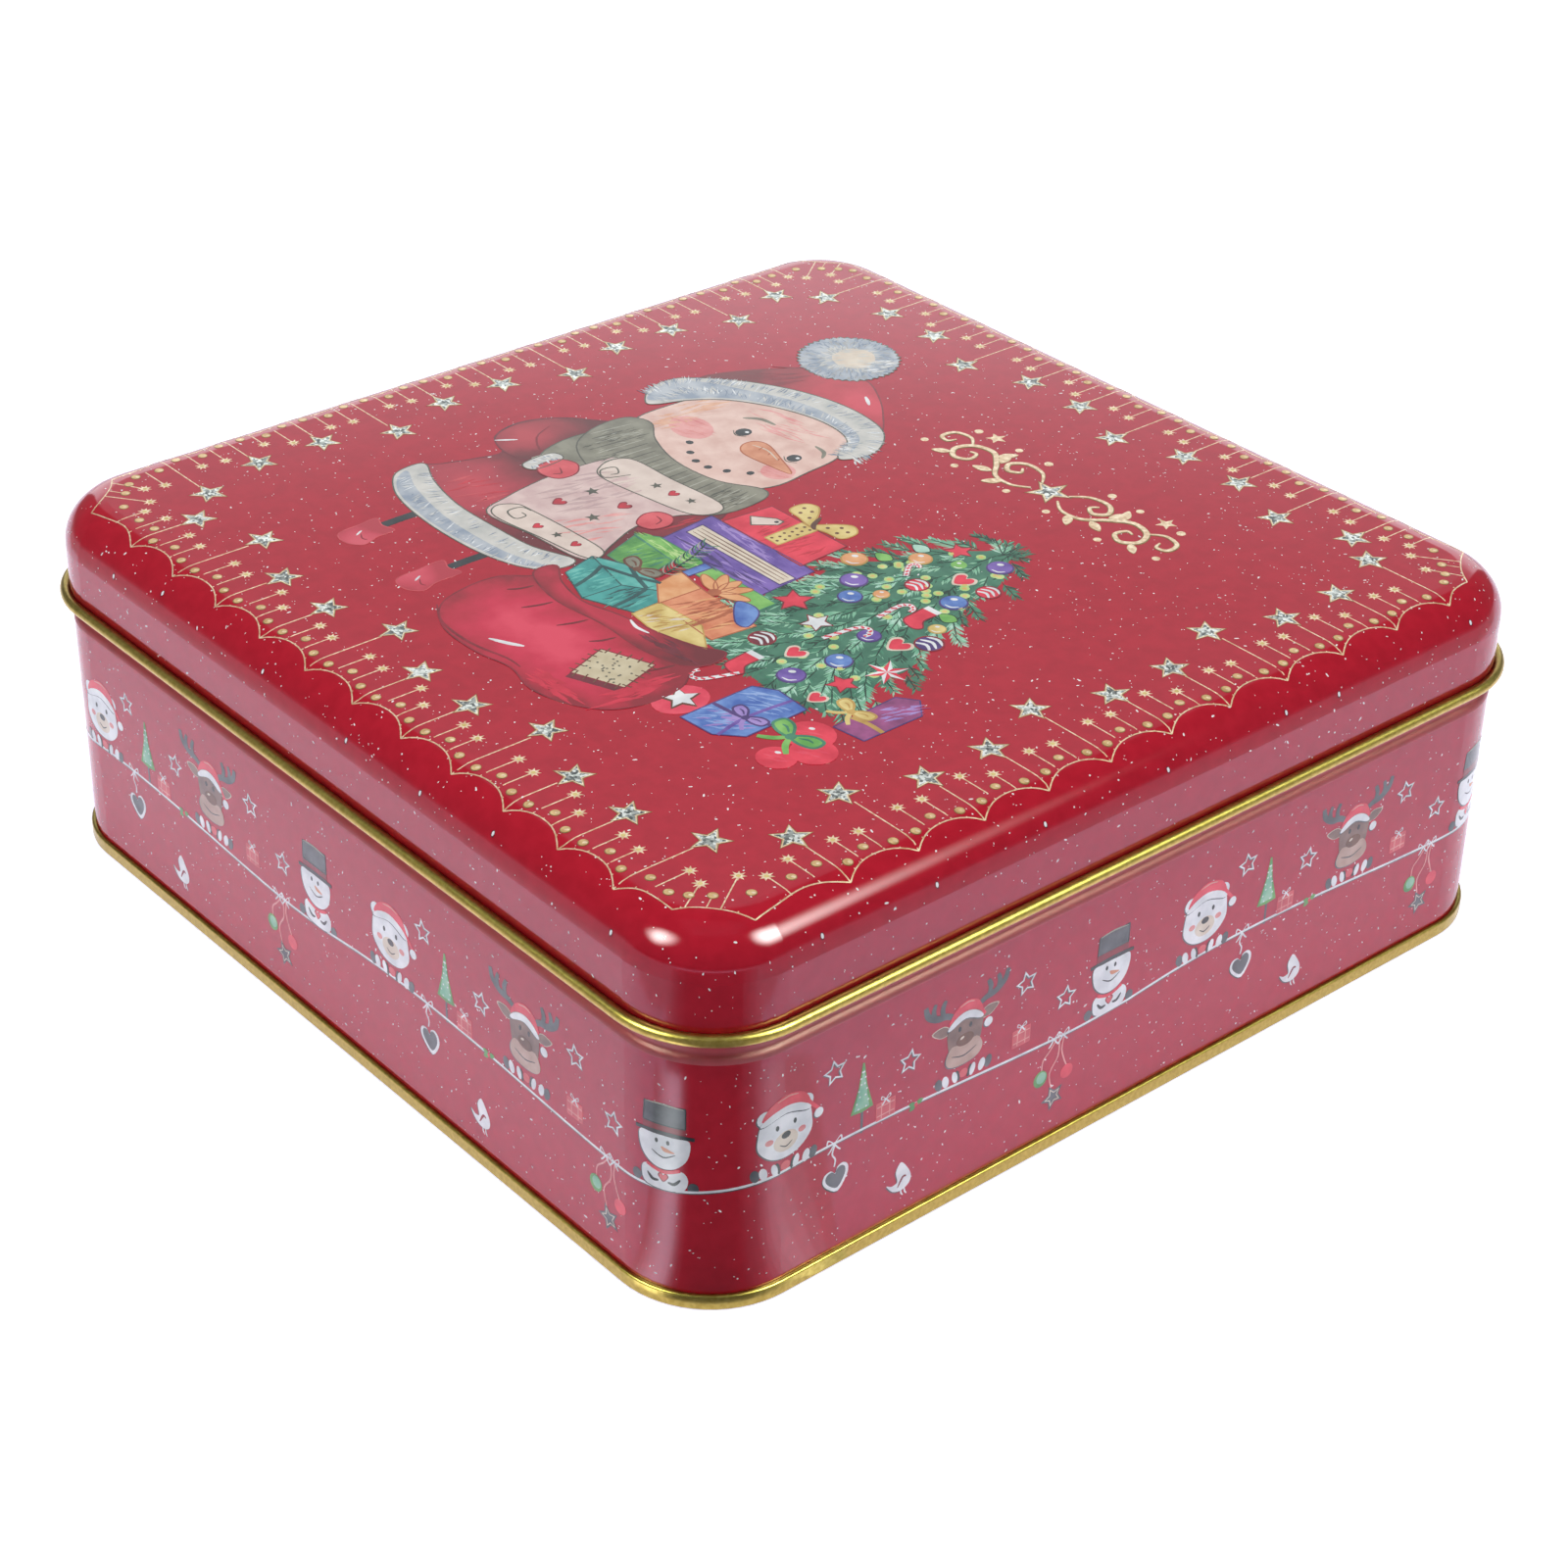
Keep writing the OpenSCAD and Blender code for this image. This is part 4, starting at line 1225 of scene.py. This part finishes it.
frieze = Print("wall_frieze_print")
REPEATS = 8
PITCH = ROUND / REPEATS
START = STRAIGHT + CORNER_ARC  # the middle of the +X wall, which the drawing is measured from
FRONT_REPEATS = (5, 6)
FRONT_SHIFT = 2.4  # how much nearer +X the front wall's figures sit on the string


def placed(x, z, *points):
    """The points of a figure whose middle is at x and z."""
    return [(x + u, z + v) for u, v in points]


def shaded(points, ink, level, smooth_it=True):
    """A small shape with a soft dark edge to its lower left."""
    outline = smooth(points, per=4) if smooth_it else points
    frieze.slab(shifted(outline, -0.22, -0.16), "charcoal_soft", level)
    frieze.slab(outline, ink, level + 1)


def outlined_star(x, z, turn):
    """A white star that is only a line, with a soft dark edge."""
    outer = star(x, z, 5, 2.5, 1.25, turn)
    frieze.ring(shifted(outer, -0.14, -0.12), 0.66, "charcoal_soft", 1)
    frieze.ring(outer, 0.74, "white", 2)


def string_bow(x, z, size):
    """A bow of thin white string."""
    for side in (-1, 1):
        loop = smooth([(x, z), (x + side * size * 0.8, z + size * 0.75),
                       (x + side * size, z + size * 0.2), (x + side * size * 0.5, z - size * 0.05)],
                      per=4)
        frieze.ring(loop, 0.62, "white", 3)
        frieze.line([(x, z), (x + side * size * 0.4, z - size * 0.6),
                     (x + side * size * 0.8, z - size)], 0.3, "white", 3, 0.3)


def small_gift(x, z):
    """A red parcel with pink stripes both ways and a bow."""
    frieze.poly(placed(x, z, (-2, -1.9), (-2, 1.5), (2, 1.5), (2, -1.9)), "red_boot", 1,
                "red_mitten", 0.18)
    for k in (-0.9, 0.9):
        frieze.stroke([(x + k, z - 1.8), (x + k, z + 1.4)], 0.2, "pink", 3)
        frieze.stroke([(x - 1.9, z + k - 0.2), (x + 1.9, z + k - 0.2)], 0.22, "pink", 4)
    string_bow(x, z + 1.9, 1.1)


def paws(x, z, reach):
    """Dark mittens and white cuffs, as if it held on to the string."""
    for side in (-1, 1):
        for u, w, ink in ((reach + 1.0, 0.85, "charcoal_soft"), (reach - 0.5, 0.75, "white"),
                          (reach - 2.6, 0.62, "white"), (reach - 3.3, 0.4, "charcoal")):
            frieze.slab(oval(x + side * u, z, w, 1.25, side * -14, 14), ink, 2 + (ink == "white"))
    frieze.slab(oval(x, z + 0.1, 1.0, 0.9, sides=12), "red_mitten", 2)


def face_dots(x, z, apart, r=0.34):
    """Two eyes."""
    for side in (-1, 1):
        frieze.slab(oval(x + side * apart / 2, z, r, r * 1.6, sides=10), "charcoal", 7)


def bobble_cap(x, z, wide, tip_x, tip_z):
    """A red cap with a white brim, its bobble hanging to one side."""
    half = wide / 2
    frieze.blob([(x - half, z), (x - half * 0.7, z + 2.4), (x, z + 3.7), (x + half * 0.75, z + 2.7),
                 (x + half * 1.05, z), (x + half * 0.4, z + 0.6), (x - half * 0.4, z + 0.6)],
                "red_bright", 3)
    frieze.line([(x - half * 0.4, z + 2.9), (x + half * 0.1, z + 3.3), (x + half * 0.5, z + 2.9)],
                0.3, "pink", 4)
    frieze.line([(x + half * 0.8, z + 1.6), (x + half * 1.1, z - 0.4), (tip_x, tip_z + 0.8)], 0.7,
                "red_bright", 3, 0.2)
    shaded(oval(tip_x, tip_z, 0.95, sides=14), "white", 4, False)
    shaded([(x - half * 1.05, z - 0.5), (x - half * 0.6, z + 0.9), (x, z + 1.5),
            (x + half * 0.6, z + 0.9), (x + half * 1.08, z - 0.7), (x + half * 0.9, z - 1.2),
            (x, z + 0.1), (x - half * 0.9, z - 1.0)], "white", 5)


def bear_cub(x, z):
    """A polar bear cub's head in a bobble cap."""
    for side in (-1, 1):
        shaded(oval(x + side * 4.1, z + 4.9, 1.5, sides=14), "white", 1, False)
    shaded(placed(x, z, (-5.2, -1.4), (-5.4, 1.2), (-4.4, 4.4), (0, 6), (4.4, 4.4), (5.4, 1.2),
                  (5.2, -1.4), (3.0, -3.6), (0, -4.3), (-3.0, -3.6)), "white", 2)
    frieze.slab(oval(x, z - 1.0, 2.5, 2.0, sides=18), "cream", 4)
    frieze.slab(oval(x, z + 0.2, 0.95, 0.7, sides=12), "charcoal", 5)
    frieze.line(placed(x, z, (-1.3, -1.4), (0, -2.1), (1.3, -1.4)), 0.24, "charcoal", 5)
    face_dots(x, z + 2.2, 3.6)
    for side in (-1, 1):
        frieze.slab(oval(x + side * 3.3, z - 0.1, 0.8, 0.6, sides=12), "pink", 4)
    bobble_cap(x, z + 4.4, 9.4, x + 6.8, z + 1.4)
    paws(x, z - 6.0, 4.8)


def deer(x, z):
    """A deer's head with dark antlers and a bobble cap."""
    for side in (-1, 1):
        for path, width in (([(2.6, 5.6), (4.4, 6.6), (6.6, 7.0), (8.6, 8.4), (9.2, 10.4)], 1.35),
                            ([(5.0, 6.8), (5.4, 8.4), (4.8, 10.0)], 1.1),
                            ([(6.9, 7.2), (7.4, 8.8), (7.0, 10.2)], 1.0)):
            frieze.line(placed(x, z, *((side * u, v) for u, v in path)),
                        width, "charcoal_soft", 1, 0.35)
        ear = [(x + side * u, z + v) for u, v in ((3.4, 3.6), (5.0, 4.8), (7.6, 4.3), (5.8, 2.7),
                                                   (4.0, 2.6))]
        frieze.slab(smooth(ear, per=4), "cream", 2)
        frieze.slab([(x + (px - x) * 0.9 + side * 0.5, z + 0.36 + (pz - z) * 0.9)
                     for px, pz in smooth(ear, per=4)], "fawn_dark", 3)
    frieze.blob(placed(x, z, (-3.9, 1.0), (-3.6, 4.2), (0, 5.8), (3.6, 4.2), (3.9, 1.0),
                       (2.6, -2.4), (-2.6, -2.4)), "fawn_dark", 3)
    shaded(placed(x, z, (-4.1, -2.6), (-2.8, -0.4), (0, -1.0), (2.8, -0.4), (4.2, -2.6),
                  (3.2, -4.4), (0, -5.0), (-3.2, -4.4)), "fawn", 5)
    frieze.slab(oval(x + 0.1, z + 0.1, 2.0, 1.25, sides=16), "brown", 7)
    frieze.slab(oval(x - 0.6, z + 0.6, 0.5, 0.25, 20, 8), "cream", 8)
    frieze.line(placed(x, z, (-2.8, -2.4), (0, -3.2), (2.8, -2.3)), 0.26, "charcoal", 7)
    face_dots(x, z + 2.6, 2.4)
    bobble_cap(x, z + 4.2, 7.4, x + 5.3, z + 1.3)
    paws(x + 0.2, z - 7.0, 4.6)


def top_hat_snowman(x, z):
    """A snowman in a top hat and a red scarf, with a heart on its front."""
    frieze.poly(placed(x, z, (-3.7, 5.2), (-3.5, 9.0), (3.7, 9.2), (3.7, 5.2)), "charcoal_soft", 1,
                "charcoal", 0.24)
    frieze.line(placed(x, z, (-3.3, 9.0), (0, 9.3), (3.4, 9.0)), 0.3, "sage_light", 3)
    frieze.poly(placed(x, z, (-3.8, 3.8), (-3.8, 5.3), (3.8, 5.3), (3.8, 3.8)), "red_deep", 2)
    frieze.line(placed(x, z, (-5.2, 3.3), (0, 3.6), (5.2, 3.4)), 0.8, "charcoal", 4, 0.2)
    shaded(placed(x, z, (-4.4, 2.8), (-2, 3.1), (2, 3.1), (4.4, 2.8), (4.1, -0.6), (2.3, -2.8),
                  (0, -3.5), (-2.3, -2.8), (-4.1, -0.6)), "white", 4)
    face_dots(x - 0.2, z + 1.9, 2.0, 0.3)
    frieze.blob(placed(x, z, (-0.4, 0.9), (0.4, 0.8), (2.0, 0.1), (0.2, 0.0)), "carrot", 6)
    frieze.line(placed(x, z, (-2.1, -0.2), (0, -1.2), (2.1, -0.2)), 0.28, "charcoal", 6)
    shaded(placed(x, z, (-3.2, -3.4), (-4.0, -5.0), (-2.9, -7.4), (2.9, -7.4), (4.2, -5.0),
                  (3.0, -3.3), (0, -4.1)), "white", 1)
    frieze.line(placed(x, z, (-3.0, -3.3), (0, -4.1), (2.9, -3.2)), 0.7, "red_bright", 5, 0.2)
    for side in (-1, 1):
        frieze.line([(x + side * 0.8, z - 6.0), (x + side * 1.9, z - 6.1),
                     (x + side * 2.9, z - 5.0)], 0.6, "charcoal", 4)
        frieze.slab(oval(x + side * 5.0, z - 6.4, 0.95, 1.1, sides=12), "charcoal_soft", 1)
    heart(x, z - 5.2, 0.95, "red_mitten", "red_deep", 4, frieze)


def dotted_tree(x, z):
    """A slim green tree with white dots down both sides."""
    frieze.stroke(placed(x, z, (0, -4.6), (0, 0)), 0.5, "charcoal_soft", 1)
    frieze.slab(placed(x, z, (-2.5, 0), (0, -0.3), (2.4, 0), (0.9, 5), (0.2, 9.6), (-0.2, 9.6),
                       (-0.9, 5)), "lime_deep", 2)
    frieze.slab(placed(x, z, (-1.8, 0.4), (1.5, 0.4), (0.1, 8.4)), "pine_light", 3)
    for k in range(7):
        for side in (-1, 1):
            spread = 1.5 * (1 - k / 7.5)
            frieze.slab(oval(x + side * spread * (0.55 + 0.4 * (k % 2)), z + 0.6 + 1.2 * k, 0.2,
                             sides=6), "white", 4)


def hanging_heart(x, z):
    """A dark heart with a white line round it, on a string."""
    string_bow(x, z + 7.2, 1.7)
    frieze.line(placed(x, z, (0.2, 7), (-0.4, 5.2), (0.3, 3.8), (0.1, 2.4)), 0.32, "white", 3, 0.1)
    lobes = smooth([(x + 0.4 + u * 2.7, z + v * 2.8 - 0.2) for u, v in (
        (0.25, -1.0), (0.95, -0.1), (1.0, 0.6), (0.6, 0.95), (0.15, 0.8), (0, 0.4), (-0.35, 0.7),
        (-0.85, 0.6), (-1.0, 0.1), (-0.6, -0.5))], per=3)
    frieze.slab(shifted(lobes, -0.15, -0.2), "charcoal", 2)
    frieze.slab(lobes, "charcoal_soft", 3)
    frieze.ring(lobes, 0.78, "white", 4)


def bird(x, z):
    """A small white bird."""
    shaded(placed(x, z, (-3.2, 0.6), (-2.0, 0.0), (-0.8, 0.4), (-1.2, 2.6), (-0.2, 4.2), (0.9, 3.2),
                  (2.2, 0.8), (1.9, -1.0), (0.2, -1.8), (-1.8, -1.2)), "white", 2)
    frieze.line(placed(x, z, (-0.7, -0.9), (0.4, 0.9), (1.2, 0.8)), 0.5, "red_deep", 4)
    for u in (0.1, 0.9):
        frieze.line([(x + u, z - 1.6), (x + u + 0.1, z - 2.4), (x + u + 0.5, z - 3.0)], 0.3,
                    "white", 3)


def holly(x, z):
    """Three leaves about a red berry."""
    for turn in (160, 20, -150):
        shape = spun(x, z, 1.7, turn, (0, 0), (0.5, 0.3), (1, 0), (0.5, -0.3))
        frieze.slab(smooth(shape, per=3), "lime_deep", 3)
    frieze.slab(oval(x, z, 0.4, sides=10), "red_bright", 4)


def three_threads(x, z):
    """A double bow with a green ball, a red ball and an iced gingerbread star on threads."""
    string_bow(x - 0.9, z, 1.5)
    string_bow(x + 1.3, z + 0.1, 1.4)
    for path in ([(0, 0), (-1.6, -2), (-3.2, -3.6), (-3.4, -5.6)],
                 [(0.4, 0), (0.4, -4), (-1.4, -7), (-0.8, -10.4)],
                 [(1.6, 0), (1.2, -3), (1.9, -5.4), (2.6, -7)]):
        frieze.line(placed(x, z, *path), 0.3, "pink_light", 2, 0.2)
    frieze.slab(oval(x - 3.6, z - 7.3, 1.6, 1.7, sides=16), "lime_deep", 2)
    frieze.slab(oval(x - 3.4, z - 7.1, 1.15, 1.2, sides=14), "pine_light", 3)
    frieze.slab(oval(x + 2.8, z - 8.4, 1.5, 1.5, sides=16), "red_bright", 2)
    cookie = star(x - 0.2, z - 12.6, 5, 2.8, 1.35, 112)
    frieze.slab(cookie, "charcoal_soft", 2)
    frieze.ring([(x - 0.2 + (u - x + 0.2) * 0.72, z - 12.6 + (v - z + 12.6) * 0.72)
                 for u, v in cookie], 0.8, "cream", 3)


for repeat in range(REPEATS):
    string = START + repeat * PITCH
    base = string + (FRONT_SHIFT if repeat in FRONT_REPEATS else 0)
    bear_cub(base + 14.6, 32.0)
    outlined_star(base + 24.6, 39.8, 98)
    dotted_tree(base + 30.8, 29.1)
    small_gift(base + 36.0, 27.2)
    outlined_star(base + 41.0, 34.3, 80)
    deer(base + 53.2, 33.0)
    outlined_star(base + 67.0, 38.3, 100)
    small_gift(base + 66.6, 27.6)
    outlined_star(base + 76.8, 31.0, 84)
    top_hat_snowman(base + 87.6, 30.8)
    holly(base + 42.8, 24.6)
    hanging_heart(base + 25.0, 18.0)
    bird(base + 40.2, 9.6)
    three_threads(base + 75.6, 23.1)
    sag = [(string + x, z) for x, z in ((-4, 23.4), (8, 24.6), (20, 25.2), (32, 25.2), (44, 24.8),
                                      (56, 24.1), (68, 23.4), (80, 23.0), (PITCH - 4, 23.4))]
    line = smooth(sag, False, 10)
    frieze.stroke(shifted(line, 0, -0.2), 0.5, "charcoal_soft", 0)
    frieze.stroke(line, 0.46, "white", 1)

corner_cuts = [side * (STRAIGHT + CORNER_ARC) + STRAIGHT / 2 + CORNER_ARC * k / CORNER_FLATS
               for side in range(8) for k in range(CORNER_FLATS + 1)]
frieze.lay(on_wall, "tin_body", "body_print", corner_cuts)

# ---------------------------------------------------------------- snow on lid and wall

def snow(name, count, spot, seed):
    """Small white flecks, most of them specks, a few of them short dashes."""
    chance = random.Random(seed)
    flecks = Print(name)
    for _ in range(count):
        x, y = spot(chance)
        size = 0.075 + 0.12 * chance.random() ** 4
        long = size * (1 + 1.8 * chance.random() ** 2.5)
        flecks.slab(oval(x, y, long, size, chance.uniform(0, 180), 6), "snow", 0)
    return flecks


SKIRT_REACH = FLAT_HALF + SHOULDER_R * math.pi / 2 + LID_TOP - SHOULDER_R - CURL_Z - CURL_R - 1


def lid_spot(chance):
    """A place on the developed lid that isn't outside its rounded corners."""
    while True:
        x, y = (chance.uniform(-SKIRT_REACH, SKIRT_REACH) for _ in range(2))
        over_x, over_y = (max(abs(c) - STRAIGHT_HALF, 0) for c in (x, y))
        if math.hypot(over_x, over_y) < SKIRT_REACH - STRAIGHT_HALF:
            return x, y


lid_snow = snow("lid_snow_print", 4600, lid_spot, SEED)
# A row of larger drops, each in a dark rim, low on the lid's shoulder.
DROP_ANGLE = 66  # how far round the shoulder the row is, in degrees
DROP_OUT = FLAT_HALF + SHOULDER_R * math.radians(DROP_ANGLE)
drop_chance = random.Random(SEED + 3)
for quarter in range(4):
    for k in range(7):
        x = -75 + 25 * k + drop_chance.uniform(-6, 6)
        y = -DROP_OUT + drop_chance.uniform(-1.2, 1.8)
        rim = oval(x, y, 0.42, 0.66, drop_chance.uniform(-20, 20), 12)
        lid_snow.slab(turned(rim, quarter), "wine", 1)
        lid_snow.slab(turned(oval(x, y + 0.04, 0.28, 0.46, sides=10), quarter), "snow", 2)
lid_snow.lay(on_lid, "lid", "lid_print")

WALL_SNOW_TOP = 48


def wall_spot(chance):
    """A place on the wall between the bottom seam and the lid."""
    return chance.uniform(0, ROUND), chance.uniform(SEAM_TOP + 1, WALL_SNOW_TOP)


wall_snow = snow("wall_snow_print", 3400, wall_spot, SEED + 1)
wall_snow.lay(on_wall, "tin_body", "body_print")

# ---------------------------------------------------------------- stage, light and camera

def bearing(azimuth, elevation):
    """Unit vector: azimuth 0 is towards -Y and 90 towards +X, in degrees."""
    a, e = math.radians(azimuth), math.radians(elevation)
    return Vector((math.sin(a) * math.cos(e), -math.cos(a) * math.cos(e), math.sin(e)))


def stage_mesh(name, corners, mat):
    """One flat face that belongs to the stage and not to the tin."""
    mesh = bpy.data.meshes.new(name)
    mesh.from_pydata(corners, [], [tuple(range(len(corners)))])
    mesh.materials.append(mat)
    obj = bpy.data.objects.new(name, mesh)
    bpy.context.scene.collection.objects.link(obj)
    return obj


def softbox(name, azimuth, elevation, distance, width, height, power, glossy=True):
    """An area light that faces the tin."""
    light = bpy.data.lights.new(name, "AREA")
    light.shape = "RECTANGLE"
    light.size, light.size_y = width, height
    light.energy = power
    obj = bpy.data.objects.new(name, light)
    obj.location = bearing(azimuth, elevation) * distance + Vector((0, 0, 0.04))
    obj.rotation_euler = bearing(azimuth, elevation).to_track_quat("Z", "Y").to_euler()
    obj.visible_glossy = glossy
    bpy.context.scene.collection.objects.link(obj)
    return obj


def glowing_material(name, colour):
    """A material of light alone: itself, its node tree, its emission and its output's socket."""
    mat = bpy.data.materials.new(name)
    mat.use_nodes = True
    tree = mat.node_tree
    tree.nodes.clear()
    emission = tree.nodes.new("ShaderNodeEmission")
    emission.inputs["Color"].default_value = (*colour, 1)
    output = tree.nodes.new("ShaderNodeOutputMaterial")
    return mat, tree, emission, output.inputs["Surface"]


def reflected_only(name, corners, mat):
    """A stage mesh that only shows in reflections."""
    obj = stage_mesh(name, corners, mat)
    obj.visible_camera = obj.visible_diffuse = obj.visible_shadow = False
    return obj


def card(name, corners, brightness):
    """A flag or a bounce card off camera."""
    mat, tree, emission, surface = glowing_material(name, (0.94, 1, 1.02))
    emission.inputs["Strength"].default_value = brightness
    tree.links.new(emission.outputs[0], surface)
    return reflected_only(name, corners, mat)


SQUARE = ((-1, -1), (1, -1), (1, 1), (-1, 1))
FLOOR_HALF = 3.0
floor_mat, _, floor_bsdf = new_material("floor_pale", (0.92, 0.92, 0.92), Roughness=0.9)
floor_bsdf.inputs["Emission Color"].default_value = (0.98, 1, 1.3, 1)
floor_bsdf.inputs["Emission Strength"].default_value = 0.58
floor_bsdf.inputs["Specular IOR Level"].default_value = 0
stage_mesh("floor", [(x * FLOOR_HALF, y * FLOOR_HALF, 0) for x, y in SQUARE], floor_mat)

world = bpy.data.worlds.new("studio")
world.use_nodes = True
world.node_tree.nodes["Background"].inputs["Color"].default_value = (0.95, 0.97, 1, 1)
world.node_tree.nodes["Background"].inputs["Strength"].default_value = 0.2
bpy.context.scene.world = world

softbox("key_overhead", 49, 82, 1.2, 0.7, 0.7, 13.2, glossy=False)


def upright_card(name, azimuths, elevations, distance, brightness, bend=8):
    """A strip of cards round part of the horizon, facing the tin."""
    start, end = azimuths
    low, high = elevations
    for i in range(bend):
        a, b = (start + (end - start) * k / bend for k in (i, i + 1))
        card(f"{name}_{i}", [bearing(a, low) * distance, bearing(b, low) * distance,
                             bearing(b, high) * distance, bearing(a, high) * distance],
             brightness)


# The backdrop behind the tin is brightest low down.
BACKDROP = ((2, 23, 1.85), (23, 24.5, 1.72), (24.5, 25.5, 1.48), (25.5, 26.5, 1.20),
            (26.5, 27.5, 0.95), (27.5, 28.5, 0.84), (28.5, 29.5, 0.72), (29.5, 30.5, 0.64),
            (30.5, 50, 0.60))
for i, (low, high, brightness) in enumerate(BACKDROP):
    upright_card(f"backdrop_{i}", (-100, -165), (low, high), 1.5, brightness)

# Walls and ceiling low down in front of the tin, seen only in the steeper bends.
FRONT_HORIZON = ((0, 3, 0.45), (3, 6, 0.26))
for i, (low, high, brightness) in enumerate(FRONT_HORIZON):
    upright_card(f"horizon_left_{i}", (-85, -25), (low, high), 1.6, brightness, 4)
    upright_card(f"horizon_front_{i}", (-25, 105), (low, high), 1.6, brightness * 0.5)
    upright_card(f"horizon_right_{i}", (105, 165), (low, high), 1.6, brightness, 4)


def soft_lamp(name, azimuth, elevation, width, height, peak, distance=1.2):
    """A lamp that fades to its edge and only shows as a glint. Its sizes are in degrees."""
    mat, tree, emission, surface = glowing_material(name, (1, 1.25, 0.92))
    coords = tree.nodes.new("ShaderNodeTexCoord")
    fade = tree.nodes.new("ShaderNodeTexGradient")
    fade.gradient_type = "SPHERICAL"
    tree.links.new(coords.outputs["Object"], fade.inputs["Vector"])
    strength = tree.nodes.new("ShaderNodeMapRange")
    strength.interpolation_type = "SMOOTHSTEP"
    strength.inputs["To Max"].default_value = peak
    tree.links.new(fade.outputs["Fac"], strength.inputs["Value"])
    tree.links.new(strength.outputs["Result"], emission.inputs["Strength"])
    clear = tree.nodes.new("ShaderNodeBsdfTransparent")
    both = tree.nodes.new("ShaderNodeAddShader")
    tree.links.new(emission.outputs[0], both.inputs[0])
    tree.links.new(clear.outputs[0], both.inputs[1])
    tree.links.new(both.outputs[0], surface)
    obj = reflected_only(name, [(x, y, 0) for x, y in SQUARE], mat)
    obj.location = bearing(azimuth, elevation) * distance
    obj.rotation_euler = bearing(azimuth, elevation).to_track_quat("Z", "Y").to_euler()
    obj.scale = (distance * math.radians(width / 2), distance * math.radians(height / 2), 1)
    return obj


# Lamps that only show as glints on the lid's rounded shoulder.
soft_lamp("lamp_left", -8.5, 41.5, 35, 37, 24)
soft_lamp("lamp_right", 112, 44, 33, 44, 24)
soft_lamp("lamp_right_tail", 117, 44, 37, 42, 8, 1.25)


CARD_LIFT = 0.6  # height of the cards just above the floor, in millimetres


def floor_card(name, azimuths, reach, brightness):
    """A wedge of card on the floor in front of the tin's nearest corner."""
    corner = Vector((STRAIGHT_HALF, -STRAIGHT_HALF, CARD_LIFT)) * MM
    start, end = azimuths
    near, far = reach
    steps = 10
    arc = [bearing(start + (end - start) * i / steps, 0) for i in range(steps + 1)]
    return card(name, [corner + d * near for d in arc] + [corner + d * far for d in reversed(arc)],
                brightness)


FLAG = 0.2  # brightness of the dark flag, the only card that acts on diffuse light as well
# Seen in the corner: the flag between two soft bright strips, which fade out with distance.
# Each entry is an azimuth and the brightness from there to the next.
NEAR_FLOOR = ((-4, 1.2), (0, 1.6), (3, 2.1), (6, 2.7), (9, 3.2), (12, 3.6), (18, 3.2), (21, 2.3),
              (23, 1.4), (25, 0.8), (27, 0.4), (30, FLAG), (74, 0.28), (78, 0.40), (83, 0.52),
              (88, 0.72), (91, 1.0), (95, 1.35), (99, 1.75), (104, 2.0), (111, 1.75), (116, 1.4),
              (121, 1.15), (126, 1.05))
FAR_FLOOR = ((8, 0.8), (13, 0.5), (18, 0.3), (24, FLAG), (78, 0.4), (84, 0.6), (90, 0.85),
             (96, 1.0))
for where, floor, reach in (("near", NEAR_FLOOR, (0.02, 0.078)), ("far", FAR_FLOOR, (0.078, 0.6))):
    for (start, brightness), (end, _) in zip(floor, floor[1:]):
        patch = floor_card(f"floor_{where}_{start + 10}", (start, end), reach, brightness)
        patch.visible_diffuse = brightness == FLAG

# Far from the tin the floor is dimmer, which the lid's skirt shows and the body's wall doesn't.
FAR_EDGE, FAR_END, FAR_LIFT = 0.178, 1.6, 0.0004
for name, turn, along in (("dim_front", 0, (-1.2, 0.3)), ("dim_side", 90, (-0.3, 1.2))):
    for i, (near, far, brightness) in enumerate(((FAR_EDGE, 0.190, 0.94), (0.190, 0.205, 0.87),
                                                 (0.205, FAR_END, 0.8))):
        corners = [(along[0], -near), (along[0], -far), (along[1], -far), (along[1], -near)]
        card(f"{name}_{i}", [Matrix.Rotation(math.radians(turn), 3, "Z") @ Vector((x, y, FAR_LIFT))
                             for x, y in corners], brightness)

# The camera stands where the tin was seen from, and looks a little off its middle.
CAM_AZIMUTH, CAM_ELEVATION, CAM_DISTANCE = 49.217, 30.996, 0.62942
AIM_HEIGHT = 0.030
CAM_YAW, CAM_PITCH, CAM_ROLL = 0.229, -0.998, 1.353
FOCAL_IN_WIDTHS = 2.08811875
SENSOR = 36

back = bearing(CAM_AZIMUTH, CAM_ELEVATION)
side = (-back).cross(Vector((0, 0, 1))).normalized()
rise = side.cross(-back)
look = -back + side * math.tan(math.radians(CAM_YAW)) + rise * math.tan(math.radians(CAM_PITCH))
look.normalize()
side = look.cross(Vector((0, 0, 1))).normalized()
rise = side.cross(look)
roll = Matrix.Rotation(math.radians(-CAM_ROLL), 3, look)
side, rise = roll @ side, roll @ rise
camera_data = bpy.data.cameras.new("camera")
camera_data.sensor_width = SENSOR
camera_data.lens = FOCAL_IN_WIDTHS * SENSOR
camera_data.clip_start = 0.01
camera = bpy.data.objects.new("camera", camera_data)
place = Matrix((side, rise, -look)).transposed().to_4x4()
place.translation = back * CAM_DISTANCE + Vector((0, 0, AIM_HEIGHT))
camera.matrix_world = place
bpy.context.scene.collection.objects.link(camera)
bpy.context.scene.camera = camera
bpy.context.scene.view_settings.view_transform = "Standard"
